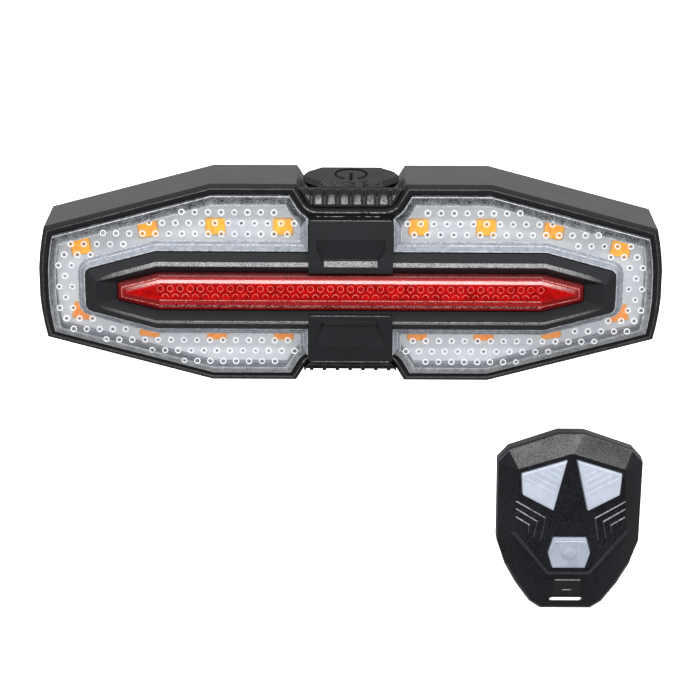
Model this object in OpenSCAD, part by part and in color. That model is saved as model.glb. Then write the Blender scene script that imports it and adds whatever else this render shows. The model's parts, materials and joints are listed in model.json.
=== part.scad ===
// Bicycle turn signal light: tail lamp on a seat post strap bracket, with its wireless handlebar remote.
// Row frame: +X right, +Y towards the bicycle's front, +Z up. The lamp faces -Y.
// The origin lies on the seat post's axis, at half the height of the bracket.

/* [Lamp body] */
// Overall width of the lamp
body_w = 120; // [112:1:130]
// Overall height of the lamp
body_h = 39.4; // [37.6:0.2:44]
// Depth of the housing from its back face to the rim
body_depth = 15.3; // [15:0.1:20]
// Length of the straight top and bottom edges
top_flat_w = 53.6; // [48:0.2:60]
// Height of the curved sides
side_h = 22.2; // [19:0.2:24]
// How far the curved sides bow out
side_bulge = 1.3; // [0.6:0.1:2.5]
// Thickness of the housing's side walls
wall = 1.6; // [1.2:0.1:1.8]
// Thickness of the housing's back wall
back_wall = 1.8; // [1.4:0.1:2.2]
// Chamfer round the housing's back edge
back_chamfer = 0.8; // [0.4:0.1:1.2]

/* [Notches for the button and the charging cover] */
// Width of each notch at the housing's edge
notch_w = 21; // [20:0.2:23]
// Width of each notch at its floor
notch_floor_w = 15.6; // [15:0.2:18]
// Depth of each notch
notch_depth = 4.5; // [4.2:0.1:4.8]
// Radius in the corners of the notch floor
notch_fillet = 2.4; // [1:0.1:2.4]

/* [Front bezel] */
// Width of the black rim round the lenses
rim_w = 1.8; // [1.7:0.1:2.4]
// Chamfer round the outside of the rim
rim_chamfer = 0.8; // [0.4:0.1:1]
// Height of the rim's front above the housing
rim_rise = 1; // [0.9:0.1:1.2]
// Width of the ledge that the lenses stand on
ledge_w = 1.5; // [1:0.1:1.8]
// How far the ledge lies behind the rim plane
ledge_drop = 0.4; // [0.2:0.1:0.8]
// Thickness of the ledge
ledge_t = 1.5; // [1:0.1:1.8]

/* [Clear lenses] */
// Height of the lens face above the rim plane
lens_face = 3; // [2.6:0.1:3.4]
// Height of the lens edge above the rim plane
lens_edge = 1.7; // [1.4:0.1:2]
// Wall thickness of the lenses
lens_t = 1.2; // [0.9:0.1:1.4]
// Width of the bevel round the lens face
lens_bevel = 1.3; // [0.8:0.1:1.6]
// Width of the sloping lens wall beside the centre frame
riser_w = 1.5; // [1.2:0.1:1.8]
// Height of that wall's top above the rim plane
riser_top = 4.8; // [4.2:0.1:5]

/* [Centre frame] */
// Length of the black hexagonal frame
frame_w = 100.8; // [96:0.2:104]
// Height of the frame
frame_h = 15.1; // [14.6:0.1:16]
// Length of the frame's straight edges
frame_flat_w = 74.2; // [66:0.2:80]
// Height of the frame's ends
frame_end_h = 7.8; // [7:0.1:9]
// Height of the frame's outer edge above the rim plane
frame_edge = 5.2; // [5.1:0.1:5.6]
// Height of the frame's crest above the rim plane
crest = 7.2; // [6.8:0.1:7.6]
// Distance of the crest from the frame's outer edge
crest_inset = 2.05; // [1.8:0.05:2.2]
// Thickness of the frame's side walls
frame_wall = 1.2; // [1:0.1:1.4]
// Width of the two plates that bridge the lenses
plate_w = 15.9; // [14:0.1:16.4]
// Distance from the middle of the lamp to a plate's far edge
plate_reach = 14.1; // [13.8:0.1:14.6]
// Height of a plate's face above the rim plane, at its far edge
plate_face = 5.6; // [5.4:0.1:6]
// Height of a plate's top above the frame's crest
plate_rise = 0.15; // [0.1:0.05:0.4]
// How far the floor of the scoop in a plate falls below the crest
scoop_depth = 1.15; // [0.8:0.05:1.3]

/* [Red lens] */
// Length of the red lens
red_w = 89; // [84:0.2:92]
// Height of the red lens
red_h = 7.7; // [7.2:0.1:8.2]
// Length of the red lens's straight edges
red_flat_w = 73; // [64:0.2:76]
// Height of the red lens's ends
red_end_h = 3.6; // [3:0.1:4]
// Height of the red lens's edge above the rim plane
red_edge = 5.6; // [5.4:0.1:5.8]
// Height of the red lens's face above the rim plane
red_face = 6.9; // [6.6:0.1:7.1]
// Width of the flange that holds the red lens
red_flange = 0.8; // [0.5:0.1:1]

/* [Lights and electronics] */
// Distance from the rim plane back to the circuit board's front
board_drop = 2.5; // [2.4:0.1:3]
// Thickness of the circuit boards
board_t = 1; // [0.8:0.1:1.6]
// Distance from the lamp's end to the middle of the last amber light
led_end = 8; // [7.6:0.1:10]
// Length of an amber light
led_l = 3.5; // [3:0.1:4]
// Height of an amber light
led_h = 3.1; // [2.6:0.1:3.4]
// Thickness of an amber light
led_t = 0.7; // [0.5:0.1:0.8]
// Clear distance from the centre frame's edge line to the middle of the amber lights
led_gap = 3.1; // [2.9:0.1:3.4]
// Length of the red light strip
strip_w = 82; // [72:0.5:84]
// Length of the battery
battery_w = 44; // [36:0.5:46]
// Thickness of the battery
battery_t = 8; // [6:0.1:8.2]

/* [Power button] */
// Length of the rubber button
button_w = 18.6; // [16:0.1:18.8]
// Depth of the rubber button, front to back
button_d = 12.2; // [10:0.1:12.6]
// How far the button travels
button_travel = 0.8; // [0.4:0.1:1]
// Number of grip ribs below the button and on the charging cover
rib_count = 7; // [5:1:7]
// Spacing of the grip ribs
rib_pitch = 2.5; // [2.2:0.05:2.55]
// Width of a grip rib
rib_w = 0.7; // [0.5:0.05:1]

/* [Seat post bracket] */
// Diameter of the seat post
post_d = 31.6; // [27.2:0.2:34.9]
// Height of the bracket along the post
bracket_h = 15; // [13:0.5:16]
// Thickness of the rubber pad on the post
pad_t = 1.5; // [1:0.1:2]
// Half angle of the post that the saddle covers
saddle_angle = 60; // [56:1:62]
// Thinnest part of the bracket between the pad and the slide
web_t = 2.5; // [2:0.1:4]
// Depth of the slide shoe on the lamp's back
shoe_d = 5; // [4.6:0.1:6]
// Width of the slide tongue's head
tongue_w = 14; // [12:0.2:16]
// Thickness of the slide tongue's head
tongue_t = 2.3; // [2:0.1:2.4]
// Width of the slide tongue's stem
stem_w = 8; // [6:0.2:9]
// Clearance round the slide tongue
slide_gap = 0.3; // [0.2:0.05:0.4]
// Width of the rubber strap along the post
strap_w = 12; // [10:0.5:13]
// Thickness of the rubber strap
strap_t = 2.4; // [2:0.1:3]
// Radius of the studs that the strap hooks on
stud_r = 1.8; // [1.4:0.1:2.2]

/* [Remote] */
// Width of the remote
remote_w = 27.9; // [27:0.1:30]
// Height of the remote
remote_h = 36.5; // [36.2:0.1:39]
// Thickness of the remote's back shell
remote_back_t = 3; // [2.9:0.1:3.2]
// Height of the remote's side wall above the back shell
remote_wall_h = 0.6; // [0.4:0.1:0.8]
// Height of the remote's raised face above its back
remote_t = 7.6; // [7.6:0.1:8.4]
// Shell thickness of the remote
remote_shell = 1; // [0.9:0.1:1]
// How far the remote's buttons stand proud of its face
key_rise = 0.5; // [0.3:0.1:0.8]
// How far the remote's buttons travel
key_travel = 0.6; // [0.4:0.1:0.6]
// Clearance round the remote's buttons
key_gap = 0.2; // [0.15:0.05:0.3]
// Length of the lanyard slot
slot_l = 6.6; // [5:0.1:7]
// Width of the lanyard slot
slot_w = 1.6; // [1.2:0.1:1.8]
// Diameter of the coin cell
cell_d = 12.5; // [11.5:0.1:12.5]
// Thickness of the coin cell
cell_t = 1.6; // [1.2:0.1:1.6]

/* [Hidden] */
$fn = 48;

// Small clearances shared by neighbouring pieces
fit = 0.1;
rubber_gap = 0.25;
over = 1;

// Places along the lamp's depth, forward of the rim plane
back_z = -body_depth;
floor_z = back_z + back_wall;
board_front = -board_drop;
board_back = board_front - board_t;
ledge_top = -ledge_drop;
ledge_back = ledge_top - ledge_t;

// The rim plane's place behind the seat post's axis
post_r = post_d / 2;
saddle_r = post_r + pad_t;
shoe_end = -(saddle_r + web_t + slide_gap);
rim_y = shoe_end - shoe_d - body_depth;

// Half sizes of the lamp
half_w = body_w / 2;
half_h = body_h / 2;
notch_floor = half_h - notch_depth;

// List and outline helpers
function reversed(list) = [for (i = [len(list) - 1 : -1 : 0]) list[i]];
function unit(v) = v / norm(v);
function inward(p, q) = let (d = unit(q - p)) [-d.y, d.x];
function turned(r, angle) = r * [cos(angle), sin(angle)];
function swing(a, b) = (b - a + 540) % 360 - 180;

// A counter-clockwise outline moved inwards by d, or outwards where d is negative
function inset(points, d) = let (n = len(points)) [
    for (i = [0 : n - 1])
        let (a = inward(points[(i + n - 1) % n], points[i]), b = inward(points[i], points[(i + 1) % n]))
        points[i] + (a + b) * d / (1 + a * b)
];

// A whole outline from its first quadrant
function four_ways(quarter) = concat(
    quarter, [for (p = reversed(quarter)) [-p.x, p.y]], -quarter, [for (p = reversed(quarter)) [p.x, -p.y]]
);

// A whole outline from its right half, counter-clockwise from the bottom
function two_ways(half) = concat(half, [for (p = reversed(half)) [-p.x, p.y]]);

// The arc that rounds the corner p between its neighbours
function corner(before, p, after, r, steps) =
    let (
        u = unit(before - p), v = unit(after - p), half_angle = acos(u * v) / 2,
        centre = p + unit(u + v) * r / sin(half_angle),
        start = p + u * r / tan(half_angle) - centre, end = p + v * r / tan(half_angle) - centre,
        a = atan2(start.y, start.x), sweep = swing(a, atan2(end.y, end.x))
    )
    [for (i = [0 : steps]) centre + turned(r, a + sweep * i / steps)];

// An outline with every corner rounded by the same radius
function rounded(points, r, steps = 3) = let (n = len(points)) [
    for (i = [0 : n - 1])
        each corner(points[(i + n - 1) % n], points[i], points[(i + 1) % n], r, steps)
];

// The lamp's outline, with bowed sides and a notch at the top and the bottom
side_r = (pow(side_h / 2, 2) + pow(side_bulge, 2)) / (2 * side_bulge);
side_angle = asin(side_h / 2 / side_r);
side_steps = 4;
notch_top_corner = [notch_w / 2, half_h];
notch_low_corner = [notch_floor_w / 2, notch_floor];
body_outline = four_ways(concat(
    [for (i = [1 : side_steps]) [half_w - side_r, 0] + turned(side_r, side_angle * i / side_steps)],
    [[top_flat_w / 2, half_h], notch_top_corner],
    corner(notch_top_corner, notch_low_corner, [0, notch_floor], notch_fillet, 4)
));

// Elongated hexagons of the frame and the red lens, moved inwards by d and then rounded at their corners
end_round = 1.2;
least_round = 0.4;
frame_hexagon = four_ways([[frame_w / 2, frame_end_h / 2], [frame_flat_w / 2, frame_h / 2]]);
red_hexagon = four_ways([[red_w / 2, red_end_h / 2], [red_flat_w / 2, red_h / 2]]);
function hexagon(points, d, r) = let (p = inset(points, d)) rounded(p, min(r, 0.6 * p[0].y));
function frame_outline(d) = hexagon(frame_hexagon, d, max(end_round - d, least_round));
function red_outline(d) = hexagon(red_hexagon, d, max(end_round / 2 - d, least_round));
frame_slope = (frame_h - frame_end_h) / (frame_w - frame_flat_w);
plate_half = plate_w / 2;

// Places of the screws that hold housing, board and frame together
screw_r = 1;
boss_r = 2.2;
screw_x = 26;
screw_z = frame_h / 2 - frame_wall - screw_r - 0.45;
screw_places = [for (sx = [-1, 1]) for (sz = [-1, 1]) [sx * screw_x, sz * screw_z]];

// Places along the notches
button_front = -1.9;
button_back = button_front - button_d;
boot_back = button_front + 0.4;
boot_front = 0.5;
switch_z = -6.5;
switch_w = 6;
switch_h = 3.4;
switch_top = notch_floor - wall - 1;
plunger_h = 0.8;
usb_w = 9;
usb_h = 3.2;
usb_l = 7.2;
usb_z = board_back - usb_h / 2;
hinge_w = -12.8;
cover_t = 2.3;

// The lamp's own frame: x right, y up, z forward of the rim plane
module in_lamp() {
    translate([0, rim_y, 0]) rotate([90, 0, 0]) children();
}

// A straight prism of an outline between two depths
module slab(points, from, to) {
    translate([0, 0, from]) linear_extrude(to - from) polygon(points);
}

// A straight-sided block from its low and high corners
module block(low, high) {
    translate(low) cube(high - low);
}

// A closed solid over rings with equal numbers of points, joined into a loop or capped at both ends.
// A cap is made of strips between the ring's first half and its second half, which runs back beside it.
module skin(rings, loop = false) {
    n = len(rings[0]);
    m = len(rings);
    top = (m - 1) * n;
    sides = [
        for (k = [0 : m - (loop ? 1 : 2)]) for (i = [0 : n - 1])
            let (j = (i + 1) % n, low = k * n, high = (k + 1) % m * n)
            each [[low + i, high + i, high + j], [low + i, high + j, low + j]]
    ];
    strips = loop ? [] : [
        for (i = [0 : n / 2 - 2]) let (j = n - 1 - i) each [[i, i + 1, j], [i + 1, j - 1, j]]
    ];
    caps = [for (t = strips) each [t, [top + t[2], top + t[1], top + t[0]]]];
    polyhedron([for (ring = rings) each ring], concat(sides, caps));
}

// The same, over flat outlines that are each given with their depth
module loft(layers, loop = false) {
    skin([for (layer = layers) [for (p = layer[0]) [p.x, p.y, layer[1]]]], loop);
}

// Rear shell of the lamp with the slide shoe on its back
module rear_housing() {
    hole_x = usb_w + 2 * fit;
    color("#3a3a3c") in_lamp() difference() {
        union() {
            difference() {
                loft([
                    [inset(body_outline, back_chamfer), back_z],
                    [body_outline, back_z + back_chamfer],
                    [body_outline, 0]
                ]);
                slab(inset(body_outline, wall), floor_z, over);
            }
            for (p = screw_places)
                translate([p.x, p.y, floor_z - fit]) cylinder(r = boss_r, h = board_back - floor_z + fit);
            slide_shoe();
        }
        for (p = screw_places) {
            translate([p.x, p.y, back_z - over]) cylinder(r = screw_r + fit, h = body_depth);
            translate([p.x, p.y, back_z - over]) cylinder(r = screw_head_r + fit, h = over + screw_head_t);
        }
        block(
            [-hole_x / 2, -half_h, usb_z - usb_h / 2 - fit],
            [hole_x / 2, -notch_floor + 2 * wall, usb_z + usb_h / 2 + fit]
        );
        block(
            [-plug_w / 2 - plug_gap, -half_h, plug_low],
            [plug_w / 2 + plug_gap, -notch_floor + plug_h + fit, plug_high]
        );
        translate([0, 0, switch_z]) rotate([-90, 0, 0]) cylinder(r = stem_r + rubber_gap, h = half_h);
    }
}

// T-slot on the lamp's back, open at the bottom and closed at the top by the stop
shoe_wall = 2.6;
shoe_half = tongue_w / 2 + slide_gap + shoe_wall;
shoe_low = -bracket_h / 2 - 1;
stop_t = 2;
lip_z = back_z - tongue_t - 2 * slide_gap;
module slide_shoe() {
    difference() {
        block([-shoe_half, shoe_low, back_z - shoe_d], [shoe_half, bracket_h / 2 + stop_t, back_z + fit]);
        block(
            [-tongue_w / 2 - slide_gap, shoe_low - over, lip_z],
            [tongue_w / 2 + slide_gap, bracket_h / 2, back_z]
        );
        block(
            [-stem_w / 2 - slide_gap, shoe_low - over, back_z - shoe_d - over],
            [stem_w / 2 + slide_gap, bracket_h / 2, lip_z + fit]
        );
    }
}

// Black rim with a chamfered front, a skirt inside the housing and the ledge that the lenses stand on
module front_bezel() {
    ledge_edge = rim_w + ledge_w;
    skirt = wall + fit;
    color("#2b2b2d") in_lamp() loft([
        [body_outline, 0],
        [inset(body_outline, rim_chamfer), rim_chamfer],
        [inset(body_outline, rim_chamfer + fit), rim_rise],
        [inset(body_outline, rim_w), rim_rise],
        [inset(body_outline, rim_w), ledge_top],
        [inset(body_outline, ledge_edge), ledge_top],
        [inset(body_outline, ledge_edge), ledge_back],
        [inset(body_outline, skirt), ledge_back],
        [inset(body_outline, skirt), 0]
    ], loop = true);
}

// Outline of the right clear lens as a ring of points: the side by the rim is moved in by rim_d and lies
// at rim_z, and the side by the centre frame and its plates is moved in by core_d and lies at core_z
lens_inner = plate_half + fit;
quarter_points = len(body_outline) / 4;
function lens_ring(rim_d, rim_z, core_d, core_z) =
    let (
        edge = inset(body_outline, rim_w + fit + rim_d),
        core = frame_outline(-fit - core_d),
        core_points = len(core) / 4,
        x0 = lens_inner + core_d,
        upper = [for (i = [0 : quarter_points - 2]) edge[i]],
        rim_up = [for (p = upper) [max(p.x, x0 + fit), p.y, rim_z]],
        core_up = concat(
            [[x0, rim_up[quarter_points - 2].y - 3 * fit, core_z], [x0, frame_h / 2 + fit + core_d, core_z]],
            [for (i = [core_points - 1 : -1 : 0]) [core[i].x, core[i].y, core_z]]
        )
    )
    concat(
        [for (p = reversed(rim_up)) [p.x, -p.y, p.z]], rim_up,
        core_up, [for (p = reversed(core_up)) [p.x, -p.y, p.z]]
    );

// Clear pan over the amber lights on the right, with a bevelled rim and a sloping wall by the frame
module clear_lens() {
    face_back = lens_face - lens_t;
    skin([
        lens_ring(lens_bevel + lens_t / 2, face_back, riser_w, face_back),
        lens_ring(lens_t, lens_edge - lens_t / 2, lens_t, face_back - fit),
        lens_ring(lens_t, ledge_top, lens_t, ledge_top),
        lens_ring(0, ledge_top, 0, ledge_top),
        lens_ring(0, lens_edge, 0, riser_top - fit),
        lens_ring(fit, lens_edge + fit, fit, riser_top),
        lens_ring(lens_bevel, lens_face, riser_w, lens_face)
    ]);
}
module clear_lens_left() {
    color("#d8dde4", 0.45) in_lamp() mirror([1, 0, 0]) clear_lens();
}
module clear_lens_right() {
    color("#d8dde4", 0.45) in_lamp() clear_lens();
}

// Hexagonal frame with a crest, and the two plates that bridge the lenses above and below it
frame_ceiling = red_edge - 1.4;
module centre_frame() {
    post_wall = 0.6;
    post_gap = 1.4;
    color("#333438") in_lamp() difference() {
        union() {
            loft([
                [frame_outline(0), board_front],
                [frame_outline(0), frame_edge],
                [frame_outline(crest_inset), crest],
                [frame_outline(crest_inset + 2 * fit), crest],
                [red_outline(0), red_edge],
                [red_outline(0), frame_ceiling],
                [frame_outline(frame_wall), frame_ceiling],
                [frame_outline(frame_wall), board_front]
            ], loop = true);
            for (up = [0, 1]) mirror([0, up, 0]) bridge_plate();
            for (p = screw_places) translate([p.x, p.y, board_front])
                cylinder(r = screw_r + post_wall, h = frame_ceiling - post_gap - board_front);
        }
        for (p = screw_places)
            translate([p.x, p.y, board_front - over]) cylinder(r = screw_r, h = screw_grip + over + fit);
    }
}

// One bridge plate, on the upper side: a sloping face with a scoop in it that ends below the crest
plate_low = red_h / 2 + 0.4;
plate_skirt = notch_floor - rim_w - ledge_w - 2 * fit;
plate_crest = frame_h / 2 - crest_inset - fit;
plate_top = crest + plate_rise;
function plate_depth(z) =
    plate_top - (plate_top - plate_face) * (z - plate_crest) / (plate_reach - plate_crest);
module bridge_plate() {
    foot = frame_h / 2 - frame_wall / 2;
    overhang = rim_rise + 2 * fit;
    face = [
        [foot, board_front], [plate_skirt, board_front], [plate_skirt, overhang],
        [plate_reach, overhang], [plate_reach, plate_face], [plate_crest, plate_top],
        [plate_low, plate_top], [plate_low, frame_ceiling + fit], [foot, frame_ceiling + fit]
    ];
    difference() {
        translate([-plate_half, 0, 0]) rotate([90, 0, 90]) linear_extrude(plate_w) polygon(face);
        block(
            [-plate_half + frame_wall, frame_h / 2, board_front - over],
            [plate_half - frame_wall, plate_skirt - frame_wall, frame_ceiling]
        );
        plate_scoop();
    }
}

// Scoop in a bridge plate: its floor runs out at the far end, and a sloping wall closes its low end
scoop_low = plate_crest + 0.1;
scoop_floor = scoop_low + scoop_depth;
scoop_far = plate_reach - 3.6;
scoop_half = plate_half - 2.85;
scoop_side = [
    [scoop_half, scoop_floor], [scoop_half + 0.8, scoop_floor + 0.9], [scoop_half + 1.3, scoop_floor + 2.1],
    [scoop_half + 1.5, scoop_far]
];
module plate_scoop() {
    steep = 0.3;
    low_z = crest - scoop_depth;
    wall_rise = plate_top - low_z;
    far_z = plate_depth(scoop_far) - fit;
    fall = (far_z - low_z) / (scoop_far - scoop_floor);
    skin([
        [for (p = two_ways(scoop_side)) [p.x, p.y, low_z + fall * (p.y - scoop_floor)]],
        [for (p = two_ways(scoop_side)) [
            p.x + sign(p.x) * steep, p.y == scoop_floor ? p.y - wall_rise - over : p.y, plate_top + over
        ]]
    ]);
}

// Red lens with bevelled edges and a hidden flange
module red_lens() {
    steep = 1.1;
    bevel = 2.1;
    bevel_z = red_edge + 0.58 * (red_face - red_edge);
    color("#c0101a", 0.8) in_lamp() loft([
        [red_outline(-red_flange), frame_ceiling - red_flange_t],
        [red_outline(-red_flange), frame_ceiling],
        [red_outline(fit), frame_ceiling],
        [red_outline(fit), red_edge],
        [red_outline(steep), bevel_z],
        [red_outline(bevel), red_face]
    ]);
}

// Gasket between the bezel and the circuit board
module housing_seal() {
    color("#1c1c1c") in_lamp() difference() {
        slab(inset(body_outline, wall + 4 * fit), board_front, ledge_back);
        slab(inset(body_outline, wall + 12 * fit), board_front - over, ledge_back + over);
    }
}

// White board with the amber lights in front and the electronics behind
module circuit_board() {
    color("#e8eaec") in_lamp() difference() {
        slab(inset(body_outline, wall + 4 * fit), board_back, board_front);
        for (p = screw_places)
            translate([p.x, p.y, board_back - over]) cylinder(r = screw_r + fit, h = board_t + 2 * over);
    }
}

// Spacing of the amber lights, and the height of their line at a distance x along the lamp
leds_a_side = 4;
led_pitch = (half_w - led_end) / leds_a_side;
function led_line(x) = frame_h / 2 + led_gap - max(0, x - frame_flat_w / 2) * frame_slope;
function led_tilt(x) = x > frame_flat_w / 2 ? -atan(frame_slope) : 0;

// Amber lights on one side, side = -1 or 1
module amber_leds(side) {
    color("#ff9a10") in_lamp() for (i = [1 : leds_a_side]) for (up = [-1, 1])
        translate([side * led_pitch * i, up * led_line(led_pitch * i), board_front])
            rotate(side * up * led_tilt(led_pitch * i))
                block([-led_l / 2, -led_h / 2, 0], [led_l / 2, led_h / 2, led_t]);
}
module amber_leds_left() { amber_leds(-1); }
module amber_leds_right() { amber_leds(1); }

// Narrow board behind the red lens and the light strip on it
red_flange_t = 1.2;
red_board_z = frame_ceiling - red_flange_t - 1.2 - board_t;
strip_h = 3;
module red_light_board() {
    half = [strip_w / 2 + 0.5, strip_h / 2 + 0.8];
    color("#f0f0f0") in_lamp()
        block([-half.x, -half.y, red_board_z], [half.x, half.y, red_board_z + board_t]);
}
module red_light_strip() {
    end = strip_w / 2 - strip_h / 2;
    color("#d81820") in_lamp() translate([0, 0, red_board_z + board_t]) linear_extrude(0.6) union() {
        square([2 * end, strip_h], center = true);
        for (s = [-1, 1]) translate([s * end, 0]) circle(d = strip_h);
    }
}

// Pins that carry the red light board on the circuit board
pin_inset = 5;
pin_r = 0.5;
module red_board_pins() {
    color("#c9a84a") in_lamp() for (sx = [-1, 1]) for (sz = [-1, 1])
        translate([sx * (strip_w / 2 - pin_inset), sz * strip_h / 2, board_front])
            cylinder(r = pin_r, h = red_board_z - board_front);
}

// Lithium cell on the housing's floor, and the foam that presses it there
battery_low = -notch_floor + usb_l + wall;
battery_high = switch_top - switch_h - 1.2;
module battery() {
    round = 1;
    color("#b9bec6") in_lamp() translate([0, 0, floor_z]) linear_extrude(battery_t) polygon(rounded([
        [-battery_w / 2, battery_low], [battery_w / 2, battery_low],
        [battery_w / 2, battery_high], [-battery_w / 2, battery_high]
    ], round));
}
module battery_foam() {
    color("#2e3138") in_lamp()
        block(
            [-battery_w / 4, battery_low + 1, floor_z + battery_t],
            [battery_w / 4, battery_high - 1, board_back]
        );
}

// Two leads from the battery's end, bent forward to the board
lead_r = 0.6;
lead_bend = 3;
lead_end = 1;
module battery_leads() {
    start = -battery_w / 2 - lead_end;
    depth = board_back - lead_bend - lead_end;
    color("#a02020") in_lamp() for (side = [-1, 1]) translate([start, side * 2 * lead_r, depth]) {
        rotate([0, 90, 0]) cylinder(r = lead_r, h = lead_end);
        translate([0, 0, lead_bend]) rotate([90, 0, 0]) rotate([0, 0, 180])
            rotate_extrude(angle = 90) translate([lead_bend, 0]) circle(r = lead_r);
        translate([-lead_bend, 0, lead_bend]) cylinder(r = lead_r, h = lead_end);
    }
}

// Small receiver board with a screening can
radio_end = 26;
radio_half = 6;
radio_t = 1;
can_half = 4;
can_t = 1.6;
module radio_module() {
    color("#2a5c3a") in_lamp() translate([half_w - radio_end + radio_half, 0, board_back - radio_t]) {
        block([-radio_half, -radio_half, 0], [radio_half, radio_half, radio_t]);
        block([-can_half - 1, -can_half, -can_t], [can_half - 1, can_half, fit / 10]);
    }
}

// Charging socket with its contact tongue, open downwards
module usb_socket() {
    shell = 0.35;
    mouth = -notch_floor + wall / 2;
    color("#c4c7cb") in_lamp() translate([0, mouth, usb_z]) rotate([-90, 0, 0]) {
        difference() {
            linear_extrude(usb_l) usb_oval(0);
            translate([0, 0, -over]) linear_extrude(usb_l + over - 1) usb_oval(shell);
        }
        translate([-3.3, -0.35, 1]) cube([6.6, 0.7, usb_l - 1.5]);
    }
}
module usb_oval(wall_in) {
    r = usb_h / 2 - wall_in;
    square([usb_w - usb_h, 2 * r], center = true);
    for (s = [-1, 1]) translate([s * (usb_w - usb_h) / 2, 0]) circle(r = r);
}

// Switch under the power button, with its plunger
module button_switch() {
    color("#4a4a4e") in_lamp() {
        block([-switch_w / 2, switch_top - switch_h, switch_z - 3], [switch_w / 2, switch_top, board_back]);
        translate([0, switch_top - fit, switch_z]) rotate([-90, 0, 0]) cylinder(r = 1, h = plunger_h + fit);
    }
}

// Screws from the housing's back through the board into the frame
screw_head_r = 1.9;
screw_head_t = 1.2;
screw_grip = 4.6;
module assembly_screws() {
    color("#9a9da1") in_lamp() for (p = screw_places) translate([p.x, p.y, back_z]) difference() {
        union() {
            cylinder(r = screw_head_r, h = screw_head_t);
            cylinder(r = screw_r - fit / 2, h = board_front - back_z + screw_grip);
        }
        for (a = [0, 90]) rotate(a) block([-1.2, -0.25, -over], [1.2, 0.25, 0.7]);
    }
}

// Profile of a notch, shrunk by a gap, as a piece that fills it from its floor to a height
function notch_half(height) =
    notch_floor_w / 2 + (notch_w - notch_floor_w) / 2 * (height - notch_floor) / notch_depth;
function notch_fill(low, high, gap) = [
    [-notch_half(low) + notch_fillet / 2 + gap, low], [notch_half(low) - notch_fillet / 2 - gap, low],
    [notch_half(low + notch_fillet / 2) - gap, low + notch_fillet / 2], [notch_half(high) - gap, high],
    [-notch_half(high) + gap, high], [-notch_half(low + notch_fillet / 2) + gap, low + notch_fillet / 2]
];

// Rubber skirt with scooped grips between ribs, for the front of a notch
grip_top = half_h - 1;
grip_low = notch_floor + fit;
grip_rim = 0.3;
grip_slope = 20;
module grip_front(back, top) {
    scoop_w = rib_pitch - rib_w;
    deep = 2 * notch_depth;
    difference() {
        slab(notch_fill(grip_low, top, rubber_gap), back, boot_front);
        intersection() {
            for (i = [0 : rib_count]) translate([(i - rib_count / 2) * rib_pitch, grip_low + 0.5, boot_front])
                rotate([-grip_slope, 0, 0]) translate([-scoop_w / 2, 0, -0.3]) cube([scoop_w, deep, deep]);
            slab(notch_fill(grip_low + fit, grip_low + deep, rubber_gap + grip_rim), back, boot_front + over);
        }
    }
}

// Fixed rubber boot in front of the power button
module button_boot() {
    color("#262628") in_lamp() grip_front(boot_back, grip_top);
}

// Rubber button with a bevelled six-sided top and a stem that reaches the switch
stem_r = 1.5;
module power_button() {
    corner_cut = 3.2;
    corner_deep = 3.9;
    low = notch_floor + button_travel + 2 * rubber_gap;
    high = half_h - 0.1;
    bevel = 0.95;
    pad = [
        [-button_w / 2, button_back + corner_deep], [-button_w / 2 + corner_cut, button_back],
        [button_w / 2 - corner_cut, button_back], [button_w / 2, button_back + corner_deep],
        [button_w / 2, button_front - corner_deep], [button_w / 2 - corner_cut, button_front],
        [-button_w / 2 + corner_cut, button_front], [-button_w / 2, button_front - corner_deep]
    ];
    flat_pad = [for (p = pad) [p.x, -p.y]];
    ccw = reversed(flat_pad);
    waist = max(0.6, (button_w - notch_floor_w) / 2 + rubber_gap);
    stem_low = switch_top + plunger_h + button_travel + fit;
    color("#2a2a2c") in_lamp() {
        rotate([-90, 0, 0]) loft([
            [inset(ccw, waist), low],
            [ccw, high - bevel],
            [inset(ccw, bevel), high]
        ]);
        translate([0, stem_low, switch_z]) rotate([-90, 0, 0]) cylinder(r = stem_r, h = low - stem_low + fit);
    }
}

// Rubber cover over the charging socket, which bends at the grooves beside the roll at its back end
plug_w = 8;
plug_h = 0.8;
plug_gap = 0.4;
plug_low = usb_z - usb_h / 2 - fit;
plug_high = usb_z + usb_h / 2 + 1.6;
hinge_groove = 0.9;
module usb_cover() {
    lip = notch_floor + cover_t;
    roll_half = notch_half(grip_low) - notch_fillet / 2 - rubber_gap;
    color("#262628") in_lamp() mirror([0, 1, 0]) {
        slab(notch_fill(grip_low, lip, rubber_gap), hinge_w + hinge_groove, boot_back + fit);
        translate([-roll_half, (grip_low + lip) / 2, hinge_w]) rotate([0, 90, 0])
            cylinder(d = lip - grip_low, h = 2 * roll_half);
        grip_front(boot_back, lip + 2 * fit);
        block([-plug_w / 2, grip_low - plug_h, usb_z - 1], [plug_w / 2, grip_low + fit, usb_z + 1]);
    }
}

// Bracket that hooks on the seat post: saddle, strap studs and the tongue that the lamp slides on
leg_angle = 8;
stud_reach = 13;
leg_start = turned(post_r, leg_angle);
leg_way = [sin(leg_angle), -cos(leg_angle)];
function leg_at(s) = leg_start + leg_way * s;
plate_y = shoe_end + slide_gap;
module seatpost_bracket() {
    arm_tip = leg_at(11.4) - [fit, 0];
    arm_foot = leg_at(17.6) - [fit, 0];
    base_half = shoe_half;
    profile = [
        [-base_half, plate_y], [base_half, plate_y], arm_foot, arm_tip, [-arm_tip.x, arm_tip.y],
        [-arm_foot.x, arm_foot.y]
    ];
    color("#2e2e30") {
        difference() {
            translate([0, 0, -bracket_h / 2]) linear_extrude(bracket_h) polygon(profile);
            translate([0, 0, -bracket_h]) cylinder(r = saddle_r, h = 2 * bracket_h, $fn = 96);
        }
        for (side = [0, 1]) mirror([side, 0, 0]) strap_stud();
        tongue();
    }
}

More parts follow.
